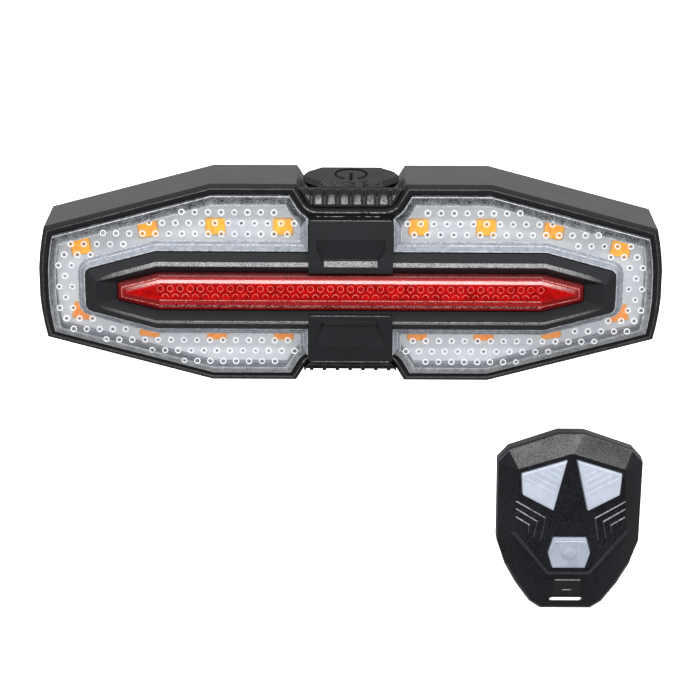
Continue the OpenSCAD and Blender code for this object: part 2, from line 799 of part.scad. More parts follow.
// Tongue of T section on the bracket's front
module tongue() {
    head_y = shoe_end - shoe_d + slide_gap;
    block([-tongue_w / 2, head_y, -bracket_h / 2], [tongue_w / 2, head_y + tongue_t, bracket_h / 2]);
    block([-stem_w / 2, head_y, -bracket_h / 2], [stem_w / 2, plate_y + fit, bracket_h / 2]);
}

// Stud with a round head on the right side of the bracket
module strap_stud() {
    at = leg_at(stud_reach);
    head_t = 1.2;
    translate([at.x, at.y, 0]) rotate([0, 0, leg_angle]) rotate([0, 90, 0]) {
        translate([0, 0, -1]) cylinder(r = stud_r, h = strap_t + 2 * fit + 1 + head_t);
        translate([0, 0, strap_t + 2 * fit]) cylinder(r = stud_r + 1.1, h = head_t);
    }
}

// Curved rubber pad between the bracket and the post
module saddle_pad() {
    color("#1f1f20") translate([0, 0, -bracket_h / 2]) rotate(-90 - saddle_angle)
        rotate_extrude(angle = 2 * saddle_angle, $fn = 96)
            translate([post_r, 0]) square([pad_t - fit / 2, bracket_h]);
}

// Rubber strap round the post, with holes in both legs for the studs
leg_l = 24;
module rubber_strap() {
    color("#222223") {
        translate([0, 0, -strap_w / 2]) rotate(leg_angle)
            rotate_extrude(angle = 180 - 2 * leg_angle, $fn = 96)
                translate([post_r, 0]) square([strap_t, strap_w]);
        for (side = [0, 1]) mirror([side, 0, 0]) strap_leg();
    }
}

// Straight leg of the strap on the right, with three holes and a ridged pull end
module strap_leg() {
    hole_pitch = 4.5;
    ridge_pitch = 1.4;
    ridge_h = 0.5;
    translate([leg_start.x, leg_start.y, 0]) rotate(leg_angle) difference() {
        union() {
            block([0, -leg_l, -strap_w / 2], [strap_t, fit / 10, strap_w / 2]);
            for (i = [0 : 2]) translate([strap_t - fit, -leg_l + (i + 0.4) * ridge_pitch, -strap_w / 2])
                cube([ridge_h + fit, ridge_pitch / 2, strap_w]);
        }
        for (i = [-1 : 1]) translate([-over, -stud_reach + i * hole_pitch, 0]) rotate([0, 90, 0])
            cylinder(r = stud_r + fit, h = strap_t + 2 * over);
    }
}

// The remote's place: it stands in front of the lamp's crest, below its right half
remote_x = 42.3;
remote_foot = -62.3;
remote_gap = 2.3;
module in_remote() {
    translate([remote_x, rim_y - crest - remote_gap, remote_foot]) rotate([90, 0, 0]) children();
}

// Shield outline of the remote and of its raised face
remote_half = remote_w / 2;
remote_outline = two_ways([
    [4.9, 0], [7.1, 1.5], [remote_half - 4.05, 5.4], [remote_half - 1.85, 9.4], [remote_half - 0.15, 14.5],
    [remote_half, remote_h - 5.7], [remote_half - 2.1, remote_h - 3.3], [2.5, remote_h]
]);
face_half = remote_half - 3.2;
face_top = remote_h - 2.55;
face_outline = two_ways([
    [3.75, 9.1], [face_half, 17.8], [face_half - 0.6, face_top - 3.15], [0.2, face_top]
]);
remote_edge = remote_back_t + remote_wall_h;
remote_bevel = 0.6;

// Outer or inner form of the remote's domed front, shrunk by a wall
module remote_dome(shrink) {
    low = shrink > 0 ? remote_back_t - fit : remote_back_t;
    shelf = remote_edge + remote_bevel - shrink / 2;
    hull() {
        slab(inset(remote_outline, shrink), low, remote_edge);
        slab(inset(remote_outline, shrink + remote_bevel), low, shelf);
        slab(inset(face_outline, shrink / 4), low, remote_t - shrink);
    }
}

// Outlines of the remote's keys
left_key = [
    [-3.3, face_top - 11.65], [-0.95, face_top - 1.3], [-face_half + 1.2, face_top - 4.05],
    [-face_half + 1.5, face_top - 8.35]
];
right_key = [for (p = reversed(left_key)) [-p.x, p.y]];
mode_z = 13.55;
mode_half = 3.15;
mode_tip = mode_half + 0.9;
mode_key = [
    [mode_tip, mode_z], [mode_half, mode_z + mode_half], [-mode_half, mode_z + mode_half],
    [-mode_tip, mode_z], [-mode_half, mode_z - mode_half], [mode_half, mode_z - mode_half]
];
key_centres = [[-5.8, face_top - 6.35], [5.8, face_top - 6.35], [0, mode_z]];

// Front shell of the remote with openings for the keys
remote_boss_r = 1.5;
remote_screw_r = 0.65;
remote_screw_grip = 1.8;
module remote_front_shell() {
    color("#1f2022") in_remote() difference() {
        remote_dome(0);
        difference() {
            remote_dome(remote_shell);
            block([-remote_half, 0, 0], [remote_half, slot_land, remote_t]);
            for (p = remote_screw_places) translate([p.x, p.y, 0]) cylinder(r = remote_boss_r, h = remote_t);
        }
        for (k = [left_key, right_key, mode_key]) slab(inset(k, -key_gap), remote_back_t, remote_t + over);
        lanyard_slot();
        for (p = remote_screw_places) translate([p.x, p.y, remote_back_t - over])
            cylinder(r = remote_screw_r + fit / 2, h = over + remote_screw_grip + fit);
    }
}

// Slot for a lanyard or cable tie through both shells
slot_z = 2.1;
slot_top = slot_z + slot_w / 2;
slot_land = slot_top + remote_shell;
slot_relief = 0.6;
module lanyard_slot() {
    translate([0, slot_z, -over]) linear_extrude(remote_t + 2 * over) {
        square([slot_l - slot_w, slot_w], center = true);
        for (s = [-1, 1]) translate([s * (slot_l - slot_w) / 2, 0]) circle(d = slot_w);
    }
}

// Back shell of the remote, with room for the coin cell and an open relief behind the lanyard slot
cell_centre = [0, 19];
remote_screw_low = slot_land + remote_boss_r + 0.9;
remote_screw_places = [[-8.6, 15.5], [8.6, 15.5], [0, remote_screw_low], [0, face_top - 6.55]];
remote_head_r = 1.2;
remote_head_t = 0.8;
module remote_back_shell() {
    color("#1b1c1e") in_remote() difference() {
        loft([
            [inset(remote_outline, remote_bevel), 0],
            [remote_outline, remote_bevel],
            [remote_outline, remote_back_t]
        ]);
        difference() {
            slab(inset(remote_outline, remote_shell), remote_shell, remote_back_t + over);
            block([-remote_half, 0, 0], [remote_half, slot_land, remote_back_t + 2 * over]);
            for (p = remote_screw_places) translate([p.x, p.y, 0])
                cylinder(r = remote_boss_r, h = remote_back_t);
        }
        lanyard_slot();
        block([-slot_l / 2 - slot_relief, -over, -over], [slot_l / 2 + slot_relief, slot_top, remote_t]);
        for (p = remote_screw_places) translate([p.x, p.y, -over]) {
            cylinder(r = remote_screw_r + fit, h = remote_back_t + 2 * over);
            cylinder(r = remote_head_r + fit, h = over + remote_head_t);
        }
    }
}

// A key of the remote: a cap through the face, a flange that stops it behind the face, and a foot
key_flange = 0.25;
key_flange_t = 0.6;
key_bevel = 0.3;
key_stop = remote_t - remote_shell - fit / 2;
key_foot = key_stop - key_flange_t - key_travel - 4 * fit;
module remote_key(shape) {
    color("#d5dae6") in_remote() loft([
        [inset(shape, key_flange), key_foot],
        [inset(shape, key_flange), key_stop - key_flange_t],
        [inset(shape, -key_flange), key_stop - key_flange_t],
        [inset(shape, -key_flange), key_stop],
        [shape, key_stop],
        [shape, remote_t + key_rise - key_bevel],
        [inset(shape, key_bevel), remote_t + key_rise]
    ]);
}
module remote_left_key() { remote_key(left_key); }
module remote_right_key() { remote_key(right_key); }
module remote_mode_key() { remote_key(mode_key); }

// Circuit board of the remote, resting on the coin cell
remote_board_z = remote_back_t - 2 * fit;
remote_board_top = remote_board_z + 0.8;
module remote_board() {
    color("#2b6a40") in_remote() difference() {
        slab(inset(remote_outline, remote_shell + 2 * fit), remote_board_z, remote_board_top);
        block([-remote_half, -over, 0], [remote_half, slot_land + fit, remote_t]);
        for (p = remote_screw_places) translate([p.x, p.y, 0])
            cylinder(r = remote_boss_r + fit, h = remote_t);
    }
}

// Dome switches under the keys
module remote_switches() {
    dome_h = key_foot - key_travel - fit - remote_board_top;
    color("#8a8d92") in_remote() for (p = key_centres) translate([p.x, p.y, remote_board_top]) {
        cylinder(r = 2, h = dome_h / 2);
        cylinder(r = 1, h = dome_h);
    }
}

// Coin cell behind the board, and the spring clip under it
module remote_coin_cell() {
    color("#c9ccd0") in_remote() translate([cell_centre.x, cell_centre.y, remote_board_z - cell_t])
        cylinder(d = cell_d, h = cell_t);
}
module remote_cell_clip() {
    clip_half = [cell_d / 2 - 1, 1.5];
    color("#d6c27a") in_remote() translate([cell_centre.x, cell_centre.y, 0]) block(
        [-clip_half.x, -clip_half.y, remote_shell],
        [clip_half.x, clip_half.y, remote_board_z - cell_t]
    );
}

// Screws that close the remote from behind
module remote_screws() {
    color("#9a9da1") in_remote() for (p = remote_screw_places) translate([p.x, p.y, 0]) {
        cylinder(r = remote_head_r, h = remote_head_t);
        cylinder(r = remote_screw_r, h = remote_back_t + remote_screw_grip);
    }
}

rear_housing();
front_bezel();
clear_lens_left();
clear_lens_right();
centre_frame();
red_lens();
housing_seal();
circuit_board();
amber_leds_left();
amber_leds_right();
red_light_board();
red_light_strip();
red_board_pins();
battery();
battery_foam();
battery_leads();
radio_module();
usb_socket();
button_switch();
assembly_screws();
button_boot();
power_button();
usb_cover();
seatpost_bracket();
saddle_pad();
rubber_strap();
remote_front_shell();
remote_back_shell();
remote_left_key();
remote_right_key();
remote_mode_key();
remote_board();
remote_switches();
remote_coin_cell();
remote_cell_clip();
remote_screws();
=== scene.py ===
import json
import math

import bmesh
import bpy
from mathutils import Matrix, Vector

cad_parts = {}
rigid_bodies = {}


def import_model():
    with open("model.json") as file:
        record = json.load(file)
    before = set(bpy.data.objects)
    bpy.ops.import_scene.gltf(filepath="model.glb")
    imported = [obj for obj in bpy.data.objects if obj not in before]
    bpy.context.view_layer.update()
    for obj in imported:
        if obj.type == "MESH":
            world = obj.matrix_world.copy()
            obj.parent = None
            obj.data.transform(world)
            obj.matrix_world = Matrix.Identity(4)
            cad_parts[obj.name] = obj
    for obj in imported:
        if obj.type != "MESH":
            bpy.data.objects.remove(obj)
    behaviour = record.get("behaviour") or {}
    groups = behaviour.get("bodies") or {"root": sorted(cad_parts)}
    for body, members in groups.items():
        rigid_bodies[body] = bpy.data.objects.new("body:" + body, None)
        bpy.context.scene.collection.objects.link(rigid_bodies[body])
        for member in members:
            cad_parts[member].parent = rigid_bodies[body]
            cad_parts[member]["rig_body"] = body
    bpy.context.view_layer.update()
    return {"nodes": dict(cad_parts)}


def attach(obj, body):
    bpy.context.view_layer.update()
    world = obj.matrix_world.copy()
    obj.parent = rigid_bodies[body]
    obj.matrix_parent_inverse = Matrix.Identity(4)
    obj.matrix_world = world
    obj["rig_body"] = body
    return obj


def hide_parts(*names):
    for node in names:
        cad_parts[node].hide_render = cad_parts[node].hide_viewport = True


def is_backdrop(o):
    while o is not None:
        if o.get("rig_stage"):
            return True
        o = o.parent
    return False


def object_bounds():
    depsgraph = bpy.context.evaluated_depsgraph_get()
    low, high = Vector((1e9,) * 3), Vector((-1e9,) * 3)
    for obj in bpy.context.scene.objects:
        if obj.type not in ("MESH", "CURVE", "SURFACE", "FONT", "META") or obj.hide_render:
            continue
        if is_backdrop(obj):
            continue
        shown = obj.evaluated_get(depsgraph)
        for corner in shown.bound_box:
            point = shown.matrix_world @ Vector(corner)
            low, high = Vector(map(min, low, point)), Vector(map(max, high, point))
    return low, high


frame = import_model()

mm = 0.001
hands = ((-1, "Left"), (1, "Right"))
lampRimY = -40.4  # rim plane of the lamp, mm along Y
remoteSpot = {"x": 42.3, "backY": -49.9, "footZ": -62.3}


def onLamp(x, up, forward):
    return Vector((x, lampRimY - forward, up)) * mm


def onRemote(x, up, forward):
    return Vector((x + remoteSpot["x"], remoteSpot["backY"] - forward, up + remoteSpot["footZ"])) * mm


# outlines, counter-clockwise as seen from the front

def inward(p, q):
    dx, dy = q[0] - p[0], q[1] - p[1]
    size = math.hypot(dx, dy)
    return -dy / size, dx / size


def inset(points, d):
    moved = []
    for i, p in enumerate(points):
        a = inward(points[i - 1], p)
        b = inward(p, points[(i + 1) % len(points)])
        k = d / (1 + a[0] * b[0] + a[1] * b[1])
        moved.append((p[0] + (a[0] + b[0]) * k, p[1] + (a[1] + b[1]) * k))
    return moved


def twoWays(half):
    return half + [(-x, y) for x, y in half[::-1]]


def fourWays(quarter):
    half = twoWays(quarter)
    return half + [(x, -y) for x, y in half[::-1]]


def rectangle(half, low, high):
    return [(-half, low), (half, low), (half, high), (-half, high)]


def cornerArc(before, p, after, r, steps):
    p = Vector(p)
    u = (Vector(before) - p).normalized()
    v = (Vector(after) - p).normalized()
    half = u.angle(v) / 2
    centre = p + (u + v).normalized() * r / math.sin(half)
    start = p + u * r / math.tan(half) - centre
    end = p + v * r / math.tan(half) - centre
    a = math.atan2(start.y, start.x)
    sweep = (math.atan2(end.y, end.x) - a + 3 * math.pi) % (2 * math.pi) - math.pi
    return [
        (centre.x + r * math.cos(a + sweep * i / steps), centre.y + r * math.sin(a + sweep * i / steps))
        for i in range(steps + 1)
    ]


def roundedOutline(points, r, steps=3):
    made = []
    for i, p in enumerate(points):
        made += cornerArc(points[i - 1], p, points[(i + 1) % len(points)], r, steps)
    return made


def isInside(p, polygon):
    inside = False
    for i, a in enumerate(polygon):
        b = polygon[i - 1]
        if (a[1] > p[1]) != (b[1] > p[1]):
            if p[0] < (b[0] - a[0]) * (p[1] - a[1]) / (b[1] - a[1]) + a[0]:
                inside = not inside
    return inside


bodyShape = {"halfW": 60, "halfH": 19.7, "flat": 26.8, "sideHalf": 11.1, "bulge": 1.3, "sideSteps": 4,
             "notchTop": (10.5, 19.7), "notchLow": (7.8, 15.2), "fillet": 2.4, "filletSteps": 4}
sideR = (bodyShape["sideHalf"] ** 2 + bodyShape["bulge"] ** 2) / (2 * bodyShape["bulge"])
sideAngle = math.asin(bodyShape["sideHalf"] / sideR)
sideAngles = [sideAngle * i / bodyShape["sideSteps"] for i in range(1, bodyShape["sideSteps"] + 1)]
bodyOutline = fourWays(
    [(bodyShape["halfW"] - sideR + sideR * math.cos(a), sideR * math.sin(a)) for a in sideAngles]
    + [(bodyShape["flat"], bodyShape["halfH"]), bodyShape["notchTop"]]
    + cornerArc(bodyShape["notchTop"], bodyShape["notchLow"], (0, bodyShape["notchLow"][1]),
                bodyShape["fillet"], bodyShape["filletSteps"])
)
frameShape = {"corners": fourWays([(50.4, 3.9), (37.1, 7.55)]), "fillet": 1.2}
redShape = {"corners": fourWays([(44.5, 1.8), (36.5, 3.85)]), "fillet": 0.6}
leastFillet, endShare = 0.4, 0.6  # a fillet's least radius, and its most by the end's half height


def hexagonOutline(shape, d):
    p = inset(shape["corners"], d)
    return roundedOutline(p, min(max(shape["fillet"] - d, leastFillet), endShare * p[0][1]))


# finishes

def tone(code):
    parts = [int(code[i:i + 2], 16) / 255 for i in (1, 3, 5)]
    return tuple(c / 12.92 if c <= 0.04045 else ((c + 0.055) / 1.055) ** 2.4 for c in parts) + (1.0,)


def noiseNode(tree, place, size, detail=3.0):
    made = tree.nodes.new("ShaderNodeTexNoise")
    made.inputs["Scale"].default_value = 1 / (size * mm)
    made.inputs["Detail"].default_value = detail
    tree.links.new(place.outputs["Object"], made.inputs["Vector"])
    return made


def rampNode(tree, source, dark, light, ramp):
    made = tree.nodes.new("ShaderNodeValToRGB")
    for stop, position, code in zip(made.color_ramp.elements, ramp, (dark, light)):
        stop.position = position
        stop.color = tone(code)
    tree.links.new(source, made.inputs[0])
    return made


def grained(name, dark, light, grain=0.3, rough=0.5, bump=0.25, depth=0.02, ramp=(0.3, 0.7), cloud=7.0,
            cloudShare=0.3, shine=0.5, glow=0.0, **fixed):
    roughSpread = 0.1
    finish = bpy.data.materials.new(name)
    finish.use_nodes = True
    tree = finish.node_tree
    add, link = tree.nodes.new, tree.links.new
    shader = tree.nodes["Principled BSDF"]
    place = add("ShaderNodeTexCoord")
    fine = noiseNode(tree, place, grain)
    broad = noiseNode(tree, place, cloud, 2.0)
    both = add("ShaderNodeMix")
    both.inputs[0].default_value = cloudShare
    link(fine.outputs[0], both.inputs[2])
    link(broad.outputs[0], both.inputs[3])
    colours = rampNode(tree, both.outputs[0], dark, light, ramp)
    link(colours.outputs[0], shader.inputs["Base Color"])
    gloss = add("ShaderNodeMapRange")
    for label, value in (("From Min", 0.3), ("From Max", 0.7), ("To Min", max(rough - roughSpread, 0.02)),
                         ("To Max", min(rough + roughSpread, 1.0))):
        gloss.inputs[label].default_value = value
    link(both.outputs[0], gloss.inputs["Value"])
    link(gloss.outputs[0], shader.inputs["Roughness"])
    relief = add("ShaderNodeBump")
    relief.inputs["Strength"].default_value = bump
    relief.inputs["Distance"].default_value = depth * mm
    link(fine.outputs[0], relief.inputs["Height"])
    link(relief.outputs[0], shader.inputs["Normal"])
    shader.inputs["Specular IOR Level"].default_value = shine
    for socket, value in fixed.items():
        shader.inputs[socket.replace("_", " ")].default_value = value
    if glow:
        shader.inputs["Emission Strength"].default_value = glow
        link(colours.outputs[0], shader.inputs["Emission Color"])
    return finish


def fadeInto(finish, dark, light, ramp):  # a second pair of tones where the mesh's "fade" is 1
    tree = finish.node_tree
    add, link = tree.nodes.new, tree.links.new
    shader = tree.nodes["Principled BSDF"]
    near = shader.inputs["Base Color"].links[0].from_node
    far = rampNode(tree, near.inputs[0].links[0].from_socket, dark, light, ramp)
    fade = add("ShaderNodeAttribute")
    fade.attribute_name = "fade"
    both = add("ShaderNodeMix")
    both.data_type = "RGBA"
    link(fade.outputs["Fac"], both.inputs[0])
    link(near.outputs[0], both.inputs[6])
    link(far.outputs[0], both.inputs[7])
    link(both.outputs[2], shader.inputs["Base Color"])
    return finish


# grain shared by the brow's facets, painted lighter on the lit side and darker on the shaded side
facetGrain = {"grain": 0.17, "rough": 0.55, "ramp": (0.36, 0.64), "cloud": 5.0, "cloudShare": 0.2, "bump": 0.7,
         "depth": 0.04}
finishes = {
    "shell": grained("shellPlastic", "#2a2a2b", "#373738", grain=0.22, rough=0.44, bump=0.3, shine=0.42),
    "shellEdgeHighlight": grained("shellEdgeHighlight", "#2c2c2e", "#4a4a4c", rough=0.42, shine=0.4),
    "bezel": grained("bezelPlastic", "#0f0f11", "#202023", grain=0.25, bump=0.35, shine=0.24),
    "beadHighlight": grained("bezelBeadHighlight", "#222224", "#5c5c5a", rough=0.38, ramp=(0.42, 0.62), cloud=2.5),
    "notchBeadHighlight": grained("notchBeadHighlight", "#262627", "#a3a3a0", grain=0.5, rough=0.4, ramp=(0.38, 0.66),
        cloud=2.5, shine=0.3),
    "frame": grained("framePlastic", "#1b1c1f", "#25262a", shine=0.24),
    "frameEdgeHighlight": grained("frameEdgeHighlight", "#26272a", "#424348", grain=0.35, rough=0.45, cloud=2.0, shine=0.3),
    "crestHighlight": fadeInto(
        grained("crestPaintedHighlight", "#47474a", "#c2c2c2", grain=0.24, rough=0.45, ramp=(0.34, 0.66), cloud=1.2,
            cloudShare=0.2, bump=0.6, depth=0.04, shine=0.3),
        "#1d1e20", "#3a3b3e", (0.38, 0.62)),
    "paintedPlateShade": grained("plateTopPaintedShade", "#030304", "#0e0e10", rough=0.8, shine=0.1),
    "plateShade": grained("plateShade", "#222326", "#393a3d", grain=0.4, shine=0.3),
    "plateHighlightLine": grained("plateHighlightLine", "#2c2d30", "#8e8f92", grain=0.4, rough=0.4, ramp=(0.36, 0.66),
        cloud=2.0, shine=0.3),
    "flake": grained("brokenShine", "#08080a", "#9a9a98", grain=0.9, rough=0.4, ramp=(0.48, 0.64),
        cloud=3.0, shine=0.1),
    "lensFace": grained("lensFace", "#e6ebf2", "#f8fafd", grain=2.5, rough=0.12, bump=0.05, Alpha=0.06),
    "lensEdgeHighlight": grained("lensEdgeHighlight", "#8f949c", "#eceef1", grain=0.5, rough=0.2, bump=0.1,
        ramp=(0.35, 0.62)),
    "lensBevelReflection": fadeInto(
        grained("lensBevelReflection", "#0e0f11", "#85888d", grain=0.22, rough=0.3, ramp=(0.4, 0.7), cloud=1.6,
            bump=0.3, shine=0.18),
        "#8b9097", "#eef1f5", (0.34, 0.62)),
    "lensRiser": grained("lensRiser", "#858b96", "#aab0bb", grain=1.2, rough=0.25, bump=0.1, cloud=6.0),
    "ring": grained("bumpRingHighlight", "#dfe4ea", "#ffffff", grain=0.35, rough=0.25, ramp=(0.34, 0.6), glow=0.3),
    "speck": grained("bumpSpeckShade", "#4a4d54", "#9ea3ab", grain=0.5, rough=0.3),
    "package": grained("ledPackage", "#f2b45c", "#f8d79c", grain=0.9, shine=0.1, glow=0.25),
    "phosphor": grained("ledPhosphor", "#ff9400", "#ffc01e", grain=0.9, bump=0.2, cloud=2.0, shine=0.1,
        glow=0.78),
    "phosphorLow": grained("ledPhosphorLow", "#f07c24", "#f8a64e", grain=0.9, bump=0.2, cloud=2.0,
        shine=0.1, glow=0.6),
    "board": grained("boardWhite", "#cdd3da", "#e6eaef", grain=0.9, rough=0.4, bump=0.1, cloud=9.0,
        cloudShare=0.6, glow=0.38),
    "redFace": grained("redFace", "#7d0204", "#c90b0a", grain=0.45, rough=0.3, bump=0.08, cloud=1.3,
        cloudShare=0.5, ramp=(0.34, 0.6), shine=0.08, glow=0.08),
    "redDeep": grained("redDeep", "#3a0d13", "#6e1a1e", grain=0.5, rough=0.35, bump=0.15, cloud=5.0,
        shine=0.2),
    "redBrown": grained("redBrown", "#7a3a36", "#b06a62", grain=0.5, rough=0.35, cloud=4.0, shine=0.2),
    "redBand": grained("redBand", "#83110f", "#ad1a1d", grain=0.5, rough=0.3, bump=0.15, cloud=5.0,
        shine=0.2),
    "redShine": grained("redShine", "#c92a26", "#e25a52", grain=0.6, rough=0.2, bump=0.05, cloud=6.0,
        shine=0.3, Coat_Weight=0.62, Coat_Roughness=0.07),
    "redSlope": grained("redSlope", "#9c0c12", "#c8282c", grain=0.5, rough=0.3, bump=0.08, cloud=3.0,
        shine=0.2, glow=0.05),
    "redGleam": fadeInto(
        grained("redGleam", "#d0524a", "#ffc4ba", grain=0.4, rough=0.2, ramp=(0.34, 0.64), cloud=1.5,
            shine=0.3),
        "#6e0c10", "#a3161a", (0.36, 0.62)),
    "redEdgeHighlight": grained("redEdgeHighlight", "#b8342f", "#f4b0a6", grain=0.4, rough=0.2, ramp=(0.4, 0.62), cloud=2.0,
        glow=0.08),
    "redWavyHighlight": grained("redWavyHighlight", "#4a070c", "#e8968c", grain=0.34, rough=0.3, ramp=(0.42, 0.64),
        cloud=1.0, cloudShare=0.15, shine=0.2),
    "redBump": grained("redBump", "#e0403a", "#f58a80", grain=0.5, rough=0.15, ramp=(0.35, 0.65),
        glow=0.15),
    "rubber": grained("softRubber", "#151516", "#252526", grain=0.22, rough=0.6, bump=0.3, shine=0.24),
    "rubberEdgeHighlight": grained("rubberEdgeHighlight", "#262628", "#48484b", grain=0.25, shine=0.3),
    "buttonStripHighlight": grained("buttonStripHighlight", "#0c0c0d", "#515152", rough=0.6, ramp=(0.38, 0.7), cloud=1.5,
        shine=0.15),
    "signDark": grained("signDark", "#020202", "#0b0b0b", rough=0.8, shine=0.05),
    "grip": fadeInto(
        grained("gripScoop", "#5e5e5d", "#dededb", grain=0.25, ramp=(0.38, 0.62), cloud=1.0, shine=0.2),
        "#070708", "#2c2c2d", (0.38, 0.62)),
    "gripRib": grained("gripRib", "#2a2a2b", "#77777a", ramp=(0.34, 0.68), cloud=2.0, shine=0.25),
    "strap": grained("strapRubber", "#161617", "#252527", grain=0.35, rough=0.7, bump=0.35),
    "bracket": grained("bracketPlastic", "#19191b", "#2b2b2e", grain=0.4, bump=0.4),
    "remote": grained("remotePlastic", "#050608", "#2b2d32", grain=0.24, bump=0.6, depth=0.04,
        ramp=(0.36, 0.66), cloud=9.0, cloudShare=0.2, shine=0.14),
    "remotePaintedLitTop": grained("remotePaintedLitFacet", "#202020", "#868686", shine=0.25, **facetGrain),
    "remotePaintedShadeTop": grained("remotePaintedShadeFacet", "#161616", "#6a6a6b", shine=0.2, **facetGrain),
    "remoteRim": grained("remoteRim", "#1b1c1e", "#5c5d61", grain=0.2, cloud=4.0, shine=0.2),
    "remoteEdge": grained("remoteEdge", "#141517", "#2c2d30", grain=0.25, shine=0.2),
    "remoteLine": grained("remoteLine", "#6f7073", "#d2d2d4", grain=0.35, rough=0.35, ramp=(0.4, 0.65)),
    "remoteTrim": grained("remoteTrim", "#2f3033", "#77787c", rough=0.45, ramp=(0.36, 0.66), cloud=3.0,
        shine=0.3),
    "remoteFaint": grained("remoteFaint", "#2b2c2f", "#56575b", grain=0.35, rough=0.45, ramp=(0.4, 0.65)),
    "remoteRidge": grained("remoteRidge", "#212227", "#383a40", grain=0.25, rough=0.45, shine=0.22),
    # painted light: the keys glow, lifting their pale plastic as if more light fell on it
    "key": grained("keyPlastic", "#b7bfd0", "#d3dae8", grain=0.9, rough=0.35, bump=0.1, cloud=4.0,
        cloudShare=0.6, shine=0.3, Subsurface_Weight=0.15, Subsurface_Scale=0.001, glow=0.1),
    "keyRidgeHighlight": grained("keyRidgeHighlight", "#cdd4e3", "#e4e9f4", grain=0.6, rough=0.3, bump=0.1, shine=0.3,
        glow=0.12),
    "modeKey": grained("modeKeyPlastic", "#a0a8bb", "#bcc4d4", grain=0.9, rough=0.35, bump=0.1, cloud=4.0,
        cloudShare=0.6, shine=0.3, glow=0.06),
    "keyShade": grained("keyShade", "#9aa2b6", "#b1b9cb", grain=0.7, rough=0.4, bump=0.1, shine=0.3,
        glow=0.05),
    "steel": grained("screwSteel", "#7d8084", "#b3b6ba", grain=0.25, rough=0.32, Metallic=1.0),
    "brass": grained("pinBrass", "#a8852f", "#d9bb62", rough=0.3, Metallic=1.0),
    "foil": grained("cellFoil", "#8f959d", "#c3c8cf", grain=1.5, rough=0.35, cloud=5.0, Metallic=0.9),
    "foam": grained("packingFoam", "#1d1f24", "#3a3e46", grain=0.5, rough=0.9, bump=0.8, depth=0.1),
    "sleeve": grained("leadSleeve", "#7c1414", "#a82424", grain=0.4, rough=0.45),
    "green": grained("boardGreen", "#1e4f30", "#2f7347", grain=0.5, rough=0.35, cloud=3.0),
    "switch": grained("switchPlastic", "#2c2c30", "#4c4c52"),
}
print("finishes ready:", len(finishes))


# making pieces

def newMesh(name, points, faces=(), edges=()):
    mesh = bpy.data.meshes.new(name)
    mesh.from_pydata([tuple(p) for p in points], edges, faces)
    return mesh


def newObject(name, data):
    made = bpy.data.objects.new(name, data)
    bpy.context.scene.collection.objects.link(made)
    return made


def faceOutwards(mesh, weld=0.0):
    work = bmesh.new()
    work.from_mesh(mesh)
    if weld:
        bmesh.ops.remove_doubles(work, verts=work.verts, dist=weld)
    bmesh.ops.recalc_face_normals(work, faces=work.faces)
    work.to_mesh(mesh)
    work.free()


def addPiece(name, mesh, body, replaced=(), sharp=35):
    if sharp:
        mesh.shade_smooth()
        mesh.set_sharp_from_angle(angle=math.radians(sharp))
    piece = newObject(name, mesh)
    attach(piece, body)
    if replaced:
        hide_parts(*replaced)
    return piece


def addSolid(name, points, faces, looks, body, replaced=(), zones=None, fades=None, sharp=35):
    mesh = newMesh(name, points, faces)
    for look in looks:
        mesh.materials.append(finishes[look])
    if zones:
        mesh.polygons.foreach_set("material_index", zones)
    if fades:
        mesh.attributes.new("fade", "FLOAT", "POINT").data.foreach_set("value", fades)
    faceOutwards(mesh, weld=0.5e-6)
    addPiece(name, mesh, body, replaced, sharp)


def bandFaces(rings, around, loop=False):
    faces = []
    for k in range(rings if loop else rings - 1):
        low, high = k * around, (k + 1) % rings * around
        for i in range(around):
            j = (i + 1) % around
            faces.append((low + i, low + j, high + j, high + i))
    return faces


def solidFaces(rings, around):  # bands from ring to ring, closed at both ends
    last = (rings - 1) * around
    return bandFaces(rings, around) + [tuple(range(around)), tuple(range(last, last + around))]


def stripCap(start, around):
    return [(start + i, start + i + 1, start + around - 2 - i, start + around - 1 - i)
            for i in range(around // 2 - 1)]


def settled(piece):
    view = bpy.context.evaluated_depsgraph_get()
    mesh = bpy.data.meshes.new_from_object(piece.evaluated_get(view), depsgraph=view)
    piece.modifiers.clear()
    piece.data = mesh
    return mesh


def dressNode(nodeName, pieceName, looks, soften=0.15, segments=2, zoneOf=None):
    source = frame["nodes"][nodeName]
    mesh = newMesh(pieceName, [v.co for v in source.data.vertices],
                   [tuple(f.vertices) for f in source.data.polygons])
    work = bmesh.new()
    work.from_mesh(mesh)
    bmesh.ops.remove_doubles(work, verts=work.verts, dist=1e-6)
    bmesh.ops.dissolve_limit(work, angle_limit=math.radians(1), verts=work.verts, edges=work.edges)
    work.normal_update()
    for face in work.faces:
        face.smooth = True
        if zoneOf:
            face.material_index = zoneOf(face.calc_center_median() / mm, face.normal)
    work.to_mesh(mesh)
    work.free()
    for look in looks:
        mesh.materials.append(finishes[look])
    holder = newObject(pieceName + "Work", mesh)
    edge = holder.modifiers.new("softEdges", "BEVEL")
    edge.width = soften * mm
    edge.segments = segments
    edge.limit_method = "ANGLE"
    edge.angle_limit = math.radians(30)
    # the bevel faces take the last finish; on the shell, bracket, centre frame and rubber parts it is a
    # painted edge highlight
    edge.material = len(looks) - 1
    even = holder.modifiers.new("evenShading", "WEIGHTED_NORMAL")
    even.weight = 90
    final = settled(holder)
    bpy.data.objects.remove(holder)
    final.name = pieceName
    return addPiece(pieceName, final, source["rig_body"], (nodeName,), None)


# one tree sets copies of a shape on places, another draws a round ridge along paths

